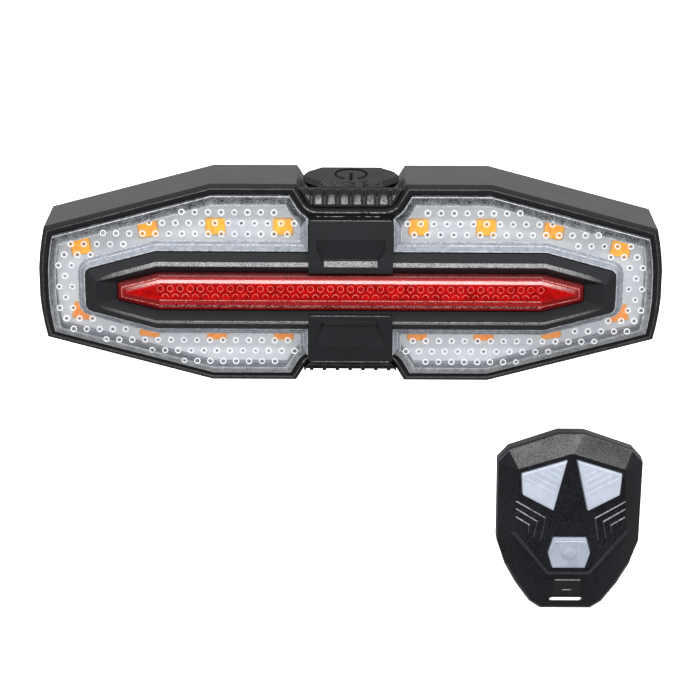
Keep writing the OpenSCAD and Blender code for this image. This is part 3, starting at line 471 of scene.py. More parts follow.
def startTree(name, sockets, output):
    tree = bpy.data.node_groups.new(name, "GeometryNodeTree")
    for label, kind in sockets:
        tree.interface.new_socket(label, in_out="INPUT", socket_type="NodeSocket" + kind)
    tree.interface.new_socket(output, in_out="OUTPUT", socket_type="NodeSocketGeometry")
    return tree, tree.nodes.new, tree.links.new, tree.nodes.new("NodeGroupInput")


def endTree(tree, source, shapes):
    add, link = tree.nodes.new, tree.links.new
    real = add("GeometryNodeRealizeInstances")
    paint = add("GeometryNodeSetMaterial")
    link(shapes.outputs[0], real.inputs[0])
    link(real.outputs[0], paint.inputs["Geometry"])
    link(source.outputs["Finish"], paint.inputs["Material"])
    link(paint.outputs[0], add("NodeGroupOutput").inputs[0])
    return tree


def placesTree():
    tree, add, link, source = startTree("shapeOnPlaces", (
        ("Places", "Geometry"), ("Shape", "Object"), ("Size", "Float"), ("Size spread", "Float"),
        ("Seed", "Int"), ("Finish", "Material")), "Pieces")
    shape = add("GeometryNodeObjectInfo")
    turn = add("GeometryNodeInputNamedAttribute")
    turn.data_type = "FLOAT_VECTOR"
    turn.inputs["Name"].default_value = "turn"
    spread = add("FunctionNodeRandomValue")
    low = add("ShaderNodeMath")
    low.operation = "SUBTRACT"
    setOn = add("GeometryNodeInstanceOnPoints")
    link(source.outputs["Shape"], shape.inputs["Object"])
    link(source.outputs["Size"], low.inputs[0])
    link(source.outputs["Size spread"], low.inputs[1])
    link(low.outputs[0], spread.inputs[2])
    link(source.outputs["Size"], spread.inputs[3])
    link(source.outputs["Seed"], spread.inputs["Seed"])
    link(source.outputs["Places"], setOn.inputs["Points"])
    link(shape.outputs["Geometry"], setOn.inputs["Instance"])
    link(turn.outputs[0], setOn.inputs["Rotation"])
    link(spread.outputs[1], setOn.inputs["Scale"])
    return endTree(tree, source, setOn)


def ridgeTree():
    tree, add, link, source = startTree("ridgeOnPaths", (
        ("Paths", "Geometry"), ("Thickness", "Float"), ("Sides", "Int"), ("Finish", "Material")), "Ridges")
    path = add("GeometryNodeMeshToCurve")
    profile = add("GeometryNodeCurvePrimitiveCircle")
    sweep = add("GeometryNodeCurveToMesh")
    sweep.inputs["Fill Caps"].default_value = True
    link(source.outputs["Paths"], path.inputs["Mesh"])
    link(source.outputs["Sides"], profile.inputs["Resolution"])
    link(source.outputs["Thickness"], profile.inputs["Radius"])
    link(path.outputs[0], sweep.inputs["Curve"])
    link(profile.outputs[0], sweep.inputs["Profile Curve"])
    return endTree(tree, source, sweep)


trees = {"places": placesTree(), "ridges": ridgeTree()}


def grow(name, treeName, mesh, settings, body, replaced=()):
    tree = trees[treeName]
    holder = newObject(name + "Work", mesh)
    nodes = holder.modifiers.new("grow", "NODES")
    nodes.node_group = tree
    for item in tree.interface.items_tree:
        if item.in_out == "INPUT" and item.name in settings:
            nodes[item.identifier] = settings[item.name]
    final = settled(holder)
    bpy.data.objects.remove(holder)
    final.name = name
    faceOutwards(final)
    addPiece(name, final, body, replaced, 40)


def setShapes(name, shapeMesh, spots, look, body, turns=None, spread=0.0, seed=1, replaced=()):
    shape = bpy.data.objects.new(name + "Shape", shapeMesh)
    places = newMesh(name + "Places", spots)
    turn = places.attributes.new("turn", "FLOAT_VECTOR", "POINT")
    flat = [c for t in (turns or [(0, 0, 0)] * len(spots)) for c in t]
    turn.data.foreach_set("vector", flat)
    settings = {"Shape": shape, "Size": 1.0, "Size spread": spread, "Seed": seed, "Finish": finishes[look]}
    grow(name, "places", places, settings, body, replaced)
    bpy.data.objects.remove(shape)


def drawRidges(name, paths, thick, look, body, sides=8, closed=False):
    points, edges = [], []
    for path in paths:
        start = len(points)
        points += path
        edges += [(start + i, start + i + 1) for i in range(len(path) - 1)]
        if closed:
            edges.append((len(points) - 1, start))
    settings = {"Thickness": thick * mm, "Sides": sides, "Finish": finishes[look]}
    grow(name, "ridges", newMesh(name + "Paths", points, edges=edges), settings, body)


def ringShape(name, big, small, around=10, sides=4, sweep=2 * math.pi):
    whole = sweep >= 2 * math.pi
    points, faces = [], []
    for i in range(around if whole else around + 1):
        a = sweep * i / around
        for j in range(sides):
            b = 2 * math.pi * (j + 0.5) / sides
            r = big + small * math.cos(b)
            points.append((r * math.cos(a) * mm, small * math.sin(b) * mm, r * math.sin(a) * mm))
    count = len(points)
    for i in range(around):
        here, there = i * sides, (i + 1) * sides % count
        for j in range(sides):
            k = (j + 1) % sides
            faces.append((here + j, there + j, there + k, here + k))
    if not whole:
        faces += [tuple(range(sides)), tuple(range(count - sides, count))]
    return newMesh(name, points, faces)


def domeShape(name, radius, high, around=8):
    sunk = 0.6
    layers = [(1.0, -sunk), (1.0, 0.0), (0.72, 0.7)]
    angles = [2 * math.pi * i / around for i in range(around)]
    points = [(radius * r * math.cos(a) * mm, -high * up * mm, radius * r * math.sin(a) * mm)
              for r, up in layers for a in angles]
    points += [(0, -high * mm, 0), (0, high * sunk * mm, 0)]
    faces = bandFaces(len(layers), around)
    last, top, low = (len(layers) - 1) * around, len(points) - 2, len(points) - 1
    faces += [(last + i, last + (i + 1) % around, top) for i in range(around)]
    faces += [((i + 1) % around, i, low) for i in range(around)]
    return newMesh(name, points, faces)


def padShape(name, halfW, halfH, thick, edge, cornerCut=0.18):
    layers = [(0, 0.0), (0, -(thick - edge)), (edge, -thick)]
    points = []
    for back, depth in layers:
        w, h = halfW - back, halfH - back
        c = min(w, h) * cornerCut
        points += [(x * mm, depth * mm, z * mm) for x, z in fourWays([(w, h - c), (w - c, h)])]
    mesh = newMesh(name, points, solidFaces(len(layers), len(points) // len(layers)))
    # the fade rises towards the top; the grip scoops use it for painted shade
    fades = [0.5 + 0.5 * p[2] / (halfH * mm) for p in points]
    mesh.attributes.new("fade", "FLOAT", "POINT").data.foreach_set("value", fades)
    return mesh


# a thin plate over flat corners
def addPatch(name, corners, thick, spotOf, look, body, fades=None):
    points = [spotOf(x, z, rise) for rise in (-thick, thick) for x, z in corners]
    addSolid(name, points, solidFaces(2, len(corners)), [look], body, fades=fades)


# lamp shell and bezel

dressNode("rear_housing", "lampShell", ["shell", "shellEdgeHighlight"], soften=0.3)

bezelLook = {
    "profile": [(0.0, 0.0), (0.1, 0.32), (0.6, 0.76), (0.72, 0.93), (0.86, 1.0), (1.0, 0.96), (1.08, 0.88),
                (1.72, 0.88), (1.8, 0.8), (1.8, -0.4), (3.3, -0.4), (3.3, -1.9), (1.7, -1.9), (1.7, 0.0)],
    "beadSteps": (3, 4), "ledgeSteps": (9, 10), "notchReach": 10.0, "paintedLightBelow": 6,
}
points, zones = [], []
for step, (d, forward) in enumerate(bezelLook["profile"]):
    points += [onLamp(x, z, forward) for x, z in inset(bodyOutline, d)]
    for i, p in enumerate(bodyOutline):
        inNotch = max(abs(p[0]), abs(bodyOutline[(i + 1) % len(bodyOutline)][0])) < bezelLook["notchReach"]
        # painted highlight: the bead steps are painted pale, paler still in the notch
        zone = (2 if inNotch else 1) if step in bezelLook["beadSteps"] else 0
        # painted light: the ledge below this height takes the pale riser finish
        zones.append(3 if step in bezelLook["ledgeSteps"] and p[1] < bezelLook["paintedLightBelow"] else zone)
faces = bandFaces(len(bezelLook["profile"]), len(bodyOutline), True)
addSolid("lampBezel", points, faces, ["bezel", "beadHighlight", "notchBeadHighlight", "lensRiser"], "lamp",
         ("front_bezel",), zones)
print("shell and bezel done")


# clear lenses with their bumps

lensLook = {
    # rim inset and height, core inset and height
    "rings": [
        (1.9, 1.8, 1.7, 1.8), (1.2, 1.1, 1.2, 1.7), (1.2, -0.4, 1.2, -0.4), (0.0, -0.4, 0.0, -0.4),
        (0.0, 1.55, 0.0, 4.55), (0.1, 1.76, 0.1, 4.78), (0.22, 1.88, 0.26, 4.74), (0.7, 2.3, 0.95, 3.8),
        (1.2, 2.7, 1.08, 3.62), (1.5, 2.9, 1.5, 3.05), (1.66, 2.98, 1.66, 3.0), (1.75, 3.0, 1.75, 3.0),
    ],
    # finish of each band up to the next ring, by the rim and by the core, and how far its painted dark
    # reflection has faded to painted light
    # the edge strips are painted highlights, the bevel a painted reflection of the dark bezel
    "looks": ["lensFace", "lensEdgeHighlight", "lensBevelReflection", "lensRiser"],
    "rimZones": (0, 0, 0, 2, 2, 1, 2, 2, 2, 2, 0), "coreZones": (0, 0, 0, 3, 1, 1, 3, 1, 3, 1, 0),
    "fades": (1.0, 1.0, 1.0, 0.0, 0.0, 0.0, 0.0, 0.0, 0.1, 0.42, 1.0, 1.0), "lowLight": (0.7, 0.3, 36),
    "rimIn": 1.9, "coreOut": 0.1, "plateSide": 8.05, "plateFoot": 7.65, "cornerSide": 0.1,
    "cornerDrop": 0.3,
}
bumpLook = {"pitch": 2.5, "row": 2.13, "lastRow": 7, "mostInRow": 20, "oddStart": 12.07, "evenStart": 10.76,
            "big": 0.55, "small": 0.135, "speck": 0.29, "speckUp": 0.06, "faceUp": 3.02, "bevelUp": 2.86,
            "faceIn": 3.75, "bevelIn": 3.05, "coreOut": 2.15, "bevelEnd": 50, "lean": (0.3, 0.08)}


def lensRing(rimIn, rimUp, coreIn, coreUp):
    edge = inset(bodyOutline, lensLook["rimIn"] + rimIn)
    core = hexagonOutline(frameShape, -lensLook["coreOut"] - coreIn)
    quarter, coreQuarter = len(bodyOutline) // 4, len(core) // 4
    x0 = lensLook["plateSide"] + coreIn
    rimHalf = [(max(x, x0 + lensLook["cornerSide"]), z, rimUp) for x, z in edge[:quarter - 1]]
    plateSide = [(x0, rimHalf[-1][1] - lensLook["cornerDrop"]), (x0, lensLook["plateFoot"] + coreIn)]
    coreHalf = [(x, z, coreUp) for x, z in plateSide + core[coreQuarter - 1::-1]]
    low = [(x, -z, d) for x, z, d in rimHalf[::-1]]
    return low + rimHalf + coreHalf + [(x, -z, d) for x, z, d in coreHalf[::-1]]


rings = [lensRing(*ring) for ring in lensLook["rings"]]
around = len(rings[0])
zones = []
for byRim, byCore in zip(lensLook["rimZones"], lensLook["coreZones"]):
    zones += [byRim if i < around // 2 - 1 else byCore for i in range(around)]
faces = bandFaces(len(rings), around)
caps = stripCap(0, around) + stripCap((len(rings) - 1) * around, around)
zones += [0] * len(caps)
fades = []
lowShare, lowFrom, lowSpan = lensLook["lowLight"]  # painted light: the lower bevel is painted lighter, as it is lit more
for fade, ring in zip(lensLook["fades"], rings):
    for i, (x, z, d) in enumerate(ring):
        share = fade + lowShare * max(0, lowFrom - z / lowSpan)
        fades.append(min(share, 1.0) if i < around // 2 else 1.0)
for side, label in hands:
    points = [onLamp(side * x, z, d) for ring in rings for x, z, d in ring]
    addSolid("clearLens" + label, points, faces + caps, lensLook["looks"], "lamp",
             ("clear_lens_" + label.lower(),), zones, fades)

faceLimit = inset(bodyOutline, bumpLook["faceIn"])
bevelLimit = inset(bodyOutline, bumpLook["bevelIn"])
coreLimit = hexagonOutline(frameShape, -bumpLook["coreOut"])
for side, label in hands:
    spots, turns = [], []
    for k in range(-bumpLook["lastRow"], bumpLook["lastRow"] + 1):
        start = bumpLook["oddStart"] if k % 2 else bumpLook["evenStart"]
        for i in range(1 if abs(k) == bumpLook["lastRow"] else 0, bumpLook["mostInRow"]):
            x, z = start + bumpLook["pitch"] * i, bumpLook["row"] * k
            onFace = isInside((x, z), faceLimit)
            onBevel = x < bumpLook["bevelEnd"] and isInside((x, z), bevelLimit)
            if (onFace or onBevel) and not isInside((x, z), coreLimit):
                spots.append(onLamp(side * x, z, bumpLook["faceUp"] if onFace else bumpLook["bevelUp"]))
                up, aside = (0, 0) if onFace else bumpLook["lean"]
                turns.append((-math.copysign(up, k), 0, side * aside))
    # painted highlight and shade: each bump is a glowing white ring around a painted dark speck
    setShapes("bumpRings" + label, ringShape("bumpRingHighlight", bumpLook["big"], bumpLook["small"]), spots, "ring",
              "lamp", turns, spread=0.12, seed=11)
    setShapes("bumpSpecks" + label, domeShape("bumpSpeckShade", bumpLook["speck"], bumpLook["speckUp"], 6),
              spots, "speck", "lamp", turns, spread=0.45, seed=5)
    print("lens", label, "has", len(spots), "bumps")


# board and amber lights

# painted light: the board glows to brighten it behind the lens
dressNode("circuit_board", "lightBoard", ["board"], soften=0.05, segments=1)
# half width, half height, thickness and edge of a light's package and of its window
ledLook = {"pitch": 13, "count": 4, "package": (2.0, 1.7, 0.55, 0.12), "window": (1.75, 1.5, 0.68, 0.1),
           "lineStart": 10.65, "flatEnd": 37.1, "slope": 0.2744, "tilt": 0.15, "boardUp": -2.5}
for side, label in hands:
    spots, turns = [], []
    for i in range(1, ledLook["count"] + 1):
        x = ledLook["pitch"] * i
        lift = ledLook["lineStart"] - max(0, x - ledLook["flatEnd"]) * ledLook["slope"]
        tilt = ledLook["tilt"] if x > ledLook["flatEnd"] else 0
        for up in (-1, 1):
            spots.append(onLamp(side * x, up * lift, ledLook["boardUp"]))
            turns.append((0, side * up * tilt, 0))
    # painted light: the packages and windows glow to lift them out of the lens's shade; the lower row is
    # painted in another tone and glows less
    setShapes("ledPackages" + label, padShape("ledPackage", *ledLook["package"]), spots, "package", "lamp",
              turns, replaced=("amber_leds_" + label.lower(),))
    for start, look in ((0, "phosphorLow"), (1, "phosphor")):
        setShapes(look + "Windows" + label, padShape("ledWindow", *ledLook["window"]), spots[start::2],
                  look, "lamp", turns[start::2])
print("board and lights done")


# centre frame, the painted highlight along its crest and the scoops of the plates

plateTop = 13.8
facingUp, tilted, straight = 0.9, 0.3, 0.2  # parts of a face's normal


def frameZone(centre, normal):  # painted shade: the plate's upper edge lies in shade and is painted near black
    return 1 if normal.z > facingUp and centre.z > plateTop else 0


dressNode("centre_frame", "centreFrame", ["frame", "paintedPlateShade", "frameEdgeHighlight"], soften=0.1,
          zoneOf=frameZone)

# the crest band is a rough texture painted as a highlight, fading darker towards the tips
crestLook = {"line": 2.05, "start": 8.02, "up": 7.2, "thick": 0.3, "tipSize": 0.5,
             "shares": (0.0, 0.35, 0.7, 0.92), "fades": (0.0, 0.05, 0.35, 0.65, 0.95),
             "section": [(-0.62, -0.5), (-0.34, -0.17), (0.0, 0.06), (0.34, -0.17), (0.62, -0.5)]}
crestEnds = inset(frameShape["corners"], crestLook["line"])
crestCorner, crestTip = Vector(crestEnds[1]), Vector(crestEnds[0])
path = [Vector((crestLook["start"], crestCorner.y))]
path += [crestCorner.lerp(crestTip, share) for share in crestLook["shares"]]
n = 2 * len(crestLook["section"])
for up, label in ((1, "Upper"), (-1, "Lower")):
    for side, hand in hands:
        points, fades = [], []
        for step, p in enumerate(path):
            way = (path[min(step + 1, len(path) - 1)] - path[max(step - 1, 0)]).normalized()
            outwards = Vector((-way.y, way.x))
            size = 1.0 if step < len(path) - 1 else crestLook["tipSize"]
            for drop, order in ((0.0, 1), (crestLook["thick"], -1)):
                for offset, rise in crestLook["section"][::order]:
                    q = p + outwards * offset * size
                    points.append(onLamp(side * q.x, up * q.y, crestLook["up"] + rise * size - drop))
            fades += [crestLook["fades"][step]] * n
        addSolid("crestBand" + label + hand, points, solidFaces(len(path), n), ["crestHighlight"], "lamp",
                 fades=fades, sharp=60)

# places up the lamp and forward of its rim, for lines also along X
plateLook = {"half": 5.05, "low": (5.46, 7.3), "floor": (6.35, 6.41), "underFloor": (6.22, 6.54),
             "thick": 0.04, "edges": [(14.03, 5.55, 7.6), (-4.28, 7.3, 7.5), (-14.06, 5.62, 7.4)],
             "glint": (14.06, 2.9, (-6.5, -2, 2, 5.5)), "scoopLine": (-6.26, 6.56, (-5.1, 0, 5.1)),
             "edgeThick": 0.1, "glintThick": 0.13, "scoopLineThick": 0.07}


def scoopWall(name, up, far, look):
    (lowZ, lowD), (farZ, farD) = plateLook["low"], far

    def onWall(x, share, rise):
        lift = 0.7 * rise  # the wall faces half up, half forward
        return onLamp(x, up * (lowZ + (farZ - lowZ) * share + lift), lowD + (farD - lowD) * share + lift)

    corners = rectangle(plateLook["half"], 0, 1)
    addPatch(name, corners, plateLook["thick"], onWall, look, "lamp")


# painted highlight on the upper scoop wall, which faces up; the lower wall takes the plate's shade finish
scoopWall("scoopWallUpper", 1, plateLook["floor"], "crestHighlight")
scoopWall("scoopWallLower", -1, plateLook["underFloor"], "plateShade")
# painted highlights: pale lines along the plates' edges and broken glints along the upper plate
edges = [[onLamp(x, z, d) for x in (-reach, 0, reach)] for z, d, reach in plateLook["edges"]]
drawRidges("plateEdges", edges, plateLook["edgeThick"], "plateHighlightLine", "lamp")
for name, key, look in (("plateGlints", "glint", "flake"), ("scoopLine", "scoopLine", "plateShade")):
    z, d, places = plateLook[key]
    line = [onLamp(x, z, d) for x in places]
    drawRidges(name, [line], plateLook[key + "Thick"], look, "lamp")


# red lens

redLook = {
    # inset, height and how much the lower side is drawn up, then the finish up to the next layer: above,
    # below and at the ends
    "layers": [
        (-0.8, 3.0, 1.0, 0, 0, 0), (-0.8, 4.2, 1.0, 0, 0, 0), (0.1, 4.2, 1.0, 0, 0, 0),
        (0.1, 5.5, 1.0, 0, 0, 0), (0.2, 5.7, 1.0, 0, 0, 0), (0.42, 5.88, 1.0, 0, 2, 2),
        (0.55, 5.97, 1.0, 1, 2, 0), (0.75, 6.11, 0.97, 2, 6, 2), (0.98, 6.27, 0.93, 2, 6, 3),
        (1.1, 6.35, 0.9, 5, 5, 2), (1.32, 6.48, 0.86, 4, 5, 2), (1.86, 6.78, 0.77, 7, 3, 5),
        (2.1, 6.9, 0.74, 7, 7, 7),
    ],
    # painted light: the edge lines, the wavy line and the end gleam are painted highlights, the shine band
    # is painted paler under the lamp's reflection in its coat, the outer band is painted darker above than
    # below, and the face, slopes and lines glow
    "looks": ["redDeep", "redBrown", "redBand", "redEdgeHighlight", "redShine", "redSlope", "redWavyHighlight", "redFace",
              "redGleam"],
    "flat": 36.8, "gleamLayer": 10, "gleamReach": 5.0,
}
deepLook, faceLook, gleamLook = 0, 7, 8  # places in the list of finishes
redBump = {"pitch": 1.9, "reach": 36.5, "up": 6.9, "upper": 0.95, "lower": -0.72, "big": 0.62,
           "small": 0.07, "arcSmall": 0.084, "dot": (0.15, 0.05), "dotDrop": 0.66, "lowDots": (-1.8, 6.62)}
layers, zones, fades = [], [], []
for step, (back, d, drawn, above, below, ends) in enumerate(redLook["layers"]):
    outline = hexagonOutline(redShape, back)
    layers.append([(x, z if z > 0 else z * drawn, d) for x, z in outline])
    # painted highlight: the end gleam fades to dark red towards the tips
    fades += [min(max(abs(x) - redLook["flat"], 0) / redLook["gleamReach"], 1.0) for x, z in outline]
    for i, p in enumerate(outline):
        q = outline[(i + 1) % len(outline)]
        onFlat = abs(p[0] + q[0]) / 2 < redLook["flat"]
        gleams = step == redLook["gleamLayer"] and p[1] > 0 and q[1] > 0
        zones.append((above if p[1] > 0 else below) if onFlat else gleamLook if gleams else ends)
around = len(layers[0])
zones = zones[:-around] + [deepLook, faceLook]
points = [onLamp(*p) for layer in layers for p in layer]
addSolid("redLens", points, solidFaces(len(layers), around), redLook["looks"], "lamp",
         ("red_lens",), zones, fades, 12)
spots = {"rings": [], "arcs": [], "dots": []}
count = int(redBump["reach"] / redBump["pitch"])
for i in range(-count, count + 1):
    x = i * redBump["pitch"]
    spots["rings"].append(onLamp(x, redBump["upper"], redBump["up"]))
    spots["dots"].append(onLamp(x, redBump["upper"] - redBump["dotDrop"], redBump["up"]))
    if i < count:
        x += redBump["pitch"] / 2
        spots["arcs"].append(onLamp(x, redBump["lower"], redBump["up"]))
        spots["dots"].append(onLamp(x, *redBump["lowDots"]))
redShapes = {  # shape, spread of its size, seed
    "rings": (ringShape("redRing", redBump["big"], redBump["small"], 12), 0.08, 3),
    "arcs": (ringShape("redArc", redBump["big"], redBump["arcSmall"], 8, sweep=math.pi), 0.08, 4),
    "dots": (domeShape("redDot", *redBump["dot"], 6), 0.4, 8),
}
# painted highlight: the rings, arcs and dots are pale, glowing red
for kind, (shape, spread, seed) in redShapes.items():
    setShapes("red" + kind.capitalize(), shape, spots[kind], "redBump", "lamp",
              spread=spread, seed=seed)
print("frame and red lens done,", sum(len(v) for v in spots.values()), "red bumps")


# power button, boot and charging cover

def buttonZone(centre, normal):  # painted highlight: the facet along the button's front, facing up and forward, is painted paler
    return 1 if normal.y < -tilted and normal.z > tilted and abs(normal.x) < straight else 0


dressNode("power_button", "powerButton", ["rubber", "buttonStripHighlight", "rubberEdgeHighlight"],
          soften=0.18, zoneOf=buttonZone)
signLook = {"forward": -7.9, "outer": (3.35, 4.3), "inner": (2.8, 3.1), "gap": 0.42, "steps": 40,
            "top": 19.58, "thick": 0.06, "sunk": 0.2, "bar": (0.3, -0.6, 4.6), "rim": 0.06}


def signSpot(x, forward, rise):
    return onLamp(x, signLook["top"] + rise, signLook["forward"] + forward)


points, signEdge = [], []
high, deep = signLook["thick"], -signLook["sunk"]
for i in range(signLook["steps"] + 1):
    a = math.pi / 2 + signLook["gap"] + (2 * math.pi - 2 * signLook["gap"]) * i / signLook["steps"]
    far, near = [(signLook[edge][0] * math.cos(a), signLook[edge][1] * math.sin(a))
                 for edge in ("outer", "inner")]
    points += [signSpot(*far, deep), signSpot(*far, high), signSpot(*near, high), signSpot(*near, deep)]
    signEdge.append(signSpot(*far, high))
addSolid("powerRing", points, solidFaces(len(signEdge), 4), ["signDark"], "button")
addPatch("powerBar", rectangle(*signLook["bar"]), signLook["thick"], signSpot, "signDark", "button")
drawRidges("powerSignRim", [signEdge], signLook["rim"], "rubberEdgeHighlight", "button", 6)

dressNode("button_boot", "buttonBoot", ["rubber", "rubberEdgeHighlight"], soften=0.08)
gripLook = {"pitch": 2.5, "count": 6, "scoop": (0.66, 0.96, 0.05, 0.02), "lean": 20, "foot": (15.65, 0.218),
            "middle": 16.72, "corner": [(7.94, 16.2), (8.2, 16.55), (8.62, 17.45), (7.94, 17.45)],
            "cornerThick": 0.05, "cornerFade": (16.2, 2.5), "ribs": (15.75, 16.6, 17.45), "ribUp": 0.42,
            "ribThick": 0.2}


def gripDepth(z):
    return gripLook["foot"][1] - (z - gripLook["foot"][0]) * math.tan(math.radians(gripLook["lean"]))


# painted light: pale pads in the scoops, which face up, darken upwards as painted shade under the button;
# the corner patches do the same
between = [(i - (gripLook["count"] - 1) / 2) * gripLook["pitch"] for i in range(gripLook["count"])]
spots = [onLamp(x, gripLook["middle"], gripDepth(gripLook["middle"])) for x in between]
turns = [(math.radians(-gripLook["lean"]), 0, 0)] * gripLook["count"]
setShapes("gripScoops", padShape("gripScoop", *gripLook["scoop"]), spots, "grip", "lamp",
          turns)
fadeFrom, fadeSpan = gripLook["cornerFade"]
for side, hand in hands:
    fades = [(z - fadeFrom) / fadeSpan for x, z in gripLook["corner"]] * 2
    addPatch("gripCorner" + hand, gripLook["corner"], gripLook["cornerThick"],
             lambda x, z, rise: onLamp(side * x, z, gripDepth(z) + rise), "grip", "lamp",
             fades)
half = gripLook["count"] // 2
# painted highlight: the ribs' fronts are painted pale grey
ribs = [[onLamp(i * gripLook["pitch"], z, gripLook["ribUp"]) for z in gripLook["ribs"]]
        for i in range(-half, half + 1)]
drawRidges("gripRibs", ribs, gripLook["ribThick"], "gripRib", "lamp")

dressNode("usb_cover", "chargingCover", ["rubber", "rubberEdgeHighlight"], soften=0.08)
coverLook = {"places": (-8.1, -6, 0, 6, 8.1), "low": -16.55, "bow": 0.02, "up": 0.46, "thick": 0.11}
# painted highlight: a pale line along the cover's ribs
line = [onLamp(x, coverLook["low"] + coverLook["bow"] * abs(x), coverLook["up"])
        for x in coverLook["places"]]
drawRidges("coverLine", [line], coverLook["thick"], "gripRib", "charging_cover")
print("button, boot and cover done")


# seat post bracket, pad and strap

dressNode("seatpost_bracket", "postBracket", ["bracket", "shellEdgeHighlight"], soften=0.3)
dressNode("saddle_pad", "postPad", ["strap"], soften=0.2)
dressNode("rubber_strap", "postStrap", ["strap"], soften=0.3)


# remote

# heights where the brow's facets begin and between which the rim lies, and how steep a facet is
shellLook = {"browUp": 28, "browFrom": 4.3, "rim": (3.6, 4.2), "steeper": 1.5, "rightFrom": 0.05,
             "backTilt": 0.5}


def remoteZone(centre, normal):  # painted light: 1 and 2: left and right facet of the brow, painted lighter on the left and darker on the right; 3: rim, painted paler where it faces forward
    forward, up = remoteSpot["backY"] - centre.y, centre.z - remoteSpot["footZ"]
    facesUp = normal.z > tilted and normal.z > shellLook["steeper"] * abs(normal.x)
    if forward > shellLook["browFrom"] and up > shellLook["browUp"] and facesUp:
        return 1 if normal.x < shellLook["rightFrom"] else 2
    return 3 if shellLook["rim"][0] < forward < shellLook["rim"][1] and normal.y < -tilted else 0


looks = ["remote", "remotePaintedLitTop", "remotePaintedShadeTop", "remoteRim", "remoteEdge"]
dressNode("remote_front_shell", "remoteFront", looks, soften=0.1, zoneOf=remoteZone)


# painted light: faces high on the back shell that face up take the paler rim finish
def backZone(centre, normal):
    facesUp = normal.z > shellLook["backTilt"]
    return 1 if facesUp and centre.z - remoteSpot["footZ"] > shellLook["browUp"] else 0


dressNode("remote_back_shell", "remoteBack", ["remote", "remoteRim", "remoteEdge"],
          soften=0.2, zoneOf=backZone)

remoteOutline = twoWays([(4.9, 0), (7.1, 1.5), (9.9, 5.4), (12.1, 9.4), (13.8, 14.5), (13.95, 30.8),
                         (11.85, 33.2), (2.5, 36.5)])
leftKey = [(-3.3, 22.3), (-0.95, 32.65), (-9.55, 29.9), (-9.25, 25.6)]
remoteLook = {
    # a rib's two ends and the foot of the bend that goes on from it
    "ribs": [[(-10.45, 24.2), (-4.75, 20.75), (-5.5, 16.3)], [(-10.45, 22.65), (-6.3, 20.0), (-6.95, 16.7)],
             [(-10.45, 21.0), (-7.8, 19.3), (-7.95, 17.8)]],
    "ridge": [(-10.9, 17.95), (-4.0, 9.15), (4.0, 9.15), (10.9, 17.95)],
    "bars": [(2.37, 7.5), (0.87, 4.95)], "barUp": 0.06,
    "panel": (2.7, 3.6, 8.05), "panelThick": 0.06,
    "ribThick": 0.13, "bendThick": 0.12, "ridgeThick": 0.48, "ridgeDrop": 0.33,
    "rimIn": 0.14, "rimUp": 3.68, "rimThick": 0.13,
    "face": 7.6, "chinTop": 9.1, "chinSlope": 0.4, "keyFace": 8.1, "keyTop": 7.9, "keyDrop": 0.1,
}


def chinDepth(z):
    return remoteLook["face"] - (remoteLook["chinTop"] - z) * remoteLook["chinSlope"]


paths, bends = [], []
for side in (1, -1):
    for rib in remoteLook["ribs"]:
        start, corner, foot = [onRemote(side * x, z, remoteLook["face"]) for x, z in rib]
        paths.append([start, corner])
        bends.append([corner, foot])
for half, z in remoteLook["bars"]:
    paths.append([onRemote(x, z, chinDepth(z) + remoteLook["barUp"]) for x in (-half, 0, half)])
drawRidges("remoteRibs", paths, remoteLook["ribThick"], "remoteLine", "remote")
drawRidges("remoteBends", bends, remoteLook["bendThick"], "remoteFaint", "remote")
ridge = [onRemote(x, z, remoteLook["face"] - remoteLook["ridgeDrop"]) for x, z in remoteLook["ridge"]]
drawRidges("remoteRidge", [ridge], remoteLook["ridgeThick"], "remoteRidge", "remote", 12)
addPatch("remotePanel", rectangle(*remoteLook["panel"]), remoteLook["panelThick"],
         lambda x, z, rise: onRemote(x, z, chinDepth(z) + rise), "remoteEdge", "remote")
rim = [onRemote(x, z, remoteLook["rimUp"]) for x, z in inset(remoteOutline, remoteLook["rimIn"])]
drawRidges("remoteRim", [rim], remoteLook["rimThick"], "remoteTrim", "remote",
           closed=True)

for hand in ("left", "right", "mode"):
    look = "modeKey" if hand == "mode" else "key"
    made = dressNode("remote_%s_key" % hand, hand + "Key", [look, look], soften=0.15)
    for v in made.data.vertices:
        if remoteSpot["backY"] - v.co.y / mm > remoteLook["keyTop"]:
            v.co.y += remoteLook["keyDrop"] * mm  # room for the lines on the cap


keyLook = {"inset": 0.7, "angle": -29, "pitch": 1.15, "start": 2.6, "shortest": 1.0, "drop": 0.11,
           "thick": 0.09}


def keyLines(outline):  # painted highlight lines, slanted across a key's cap
    angle = math.radians(keyLook["angle"])
    way = Vector((math.cos(angle), math.sin(angle)))
    across = Vector((-way.y, way.x))
    reach = [across.dot(Vector(p)) for p in outline]
    found = []
    level = min(reach) + keyLook["start"]
    while level < max(reach):
        hits = []
        for i, p in enumerate(outline):
            q = Vector(outline[(i + 1) % len(outline)])
            p = Vector(p)
            a, b = across.dot(p) - level, across.dot(q) - level
            if a * b < 0:
                hits.append(p.lerp(q, a / (a - b)))
        if len(hits) == 2 and (hits[0] - hits[1]).length > keyLook["shortest"]:
            found.append(hits)
        level += keyLook["pitch"]
    return found


for side, hand in ((1, "left"), (-1, "right")):
    paths = [[onRemote(side * p.x, p.y, remoteLook["keyFace"] - keyLook["drop"]) for p in line]
             for line in keyLines(inset(leftKey, keyLook["inset"]))]
    drawRidges(hand + "KeyLines", paths, keyLook["thick"], "keyRidgeHighlight", hand + "_key", 6)
bossLook = {"z": 13.55, "around": 24, "layers": [(1.4, 7.9), (1.38, 8.02), (1.28, 8.07)], "faceUp": 7.99,
            "rim": 1.46, "rimThick": 0.08, "line": 16.0, "lineHalf": 2.9, "lineThick": 0.09,
            "dot": (0.14, 0.02), "dotUp": 0.2}


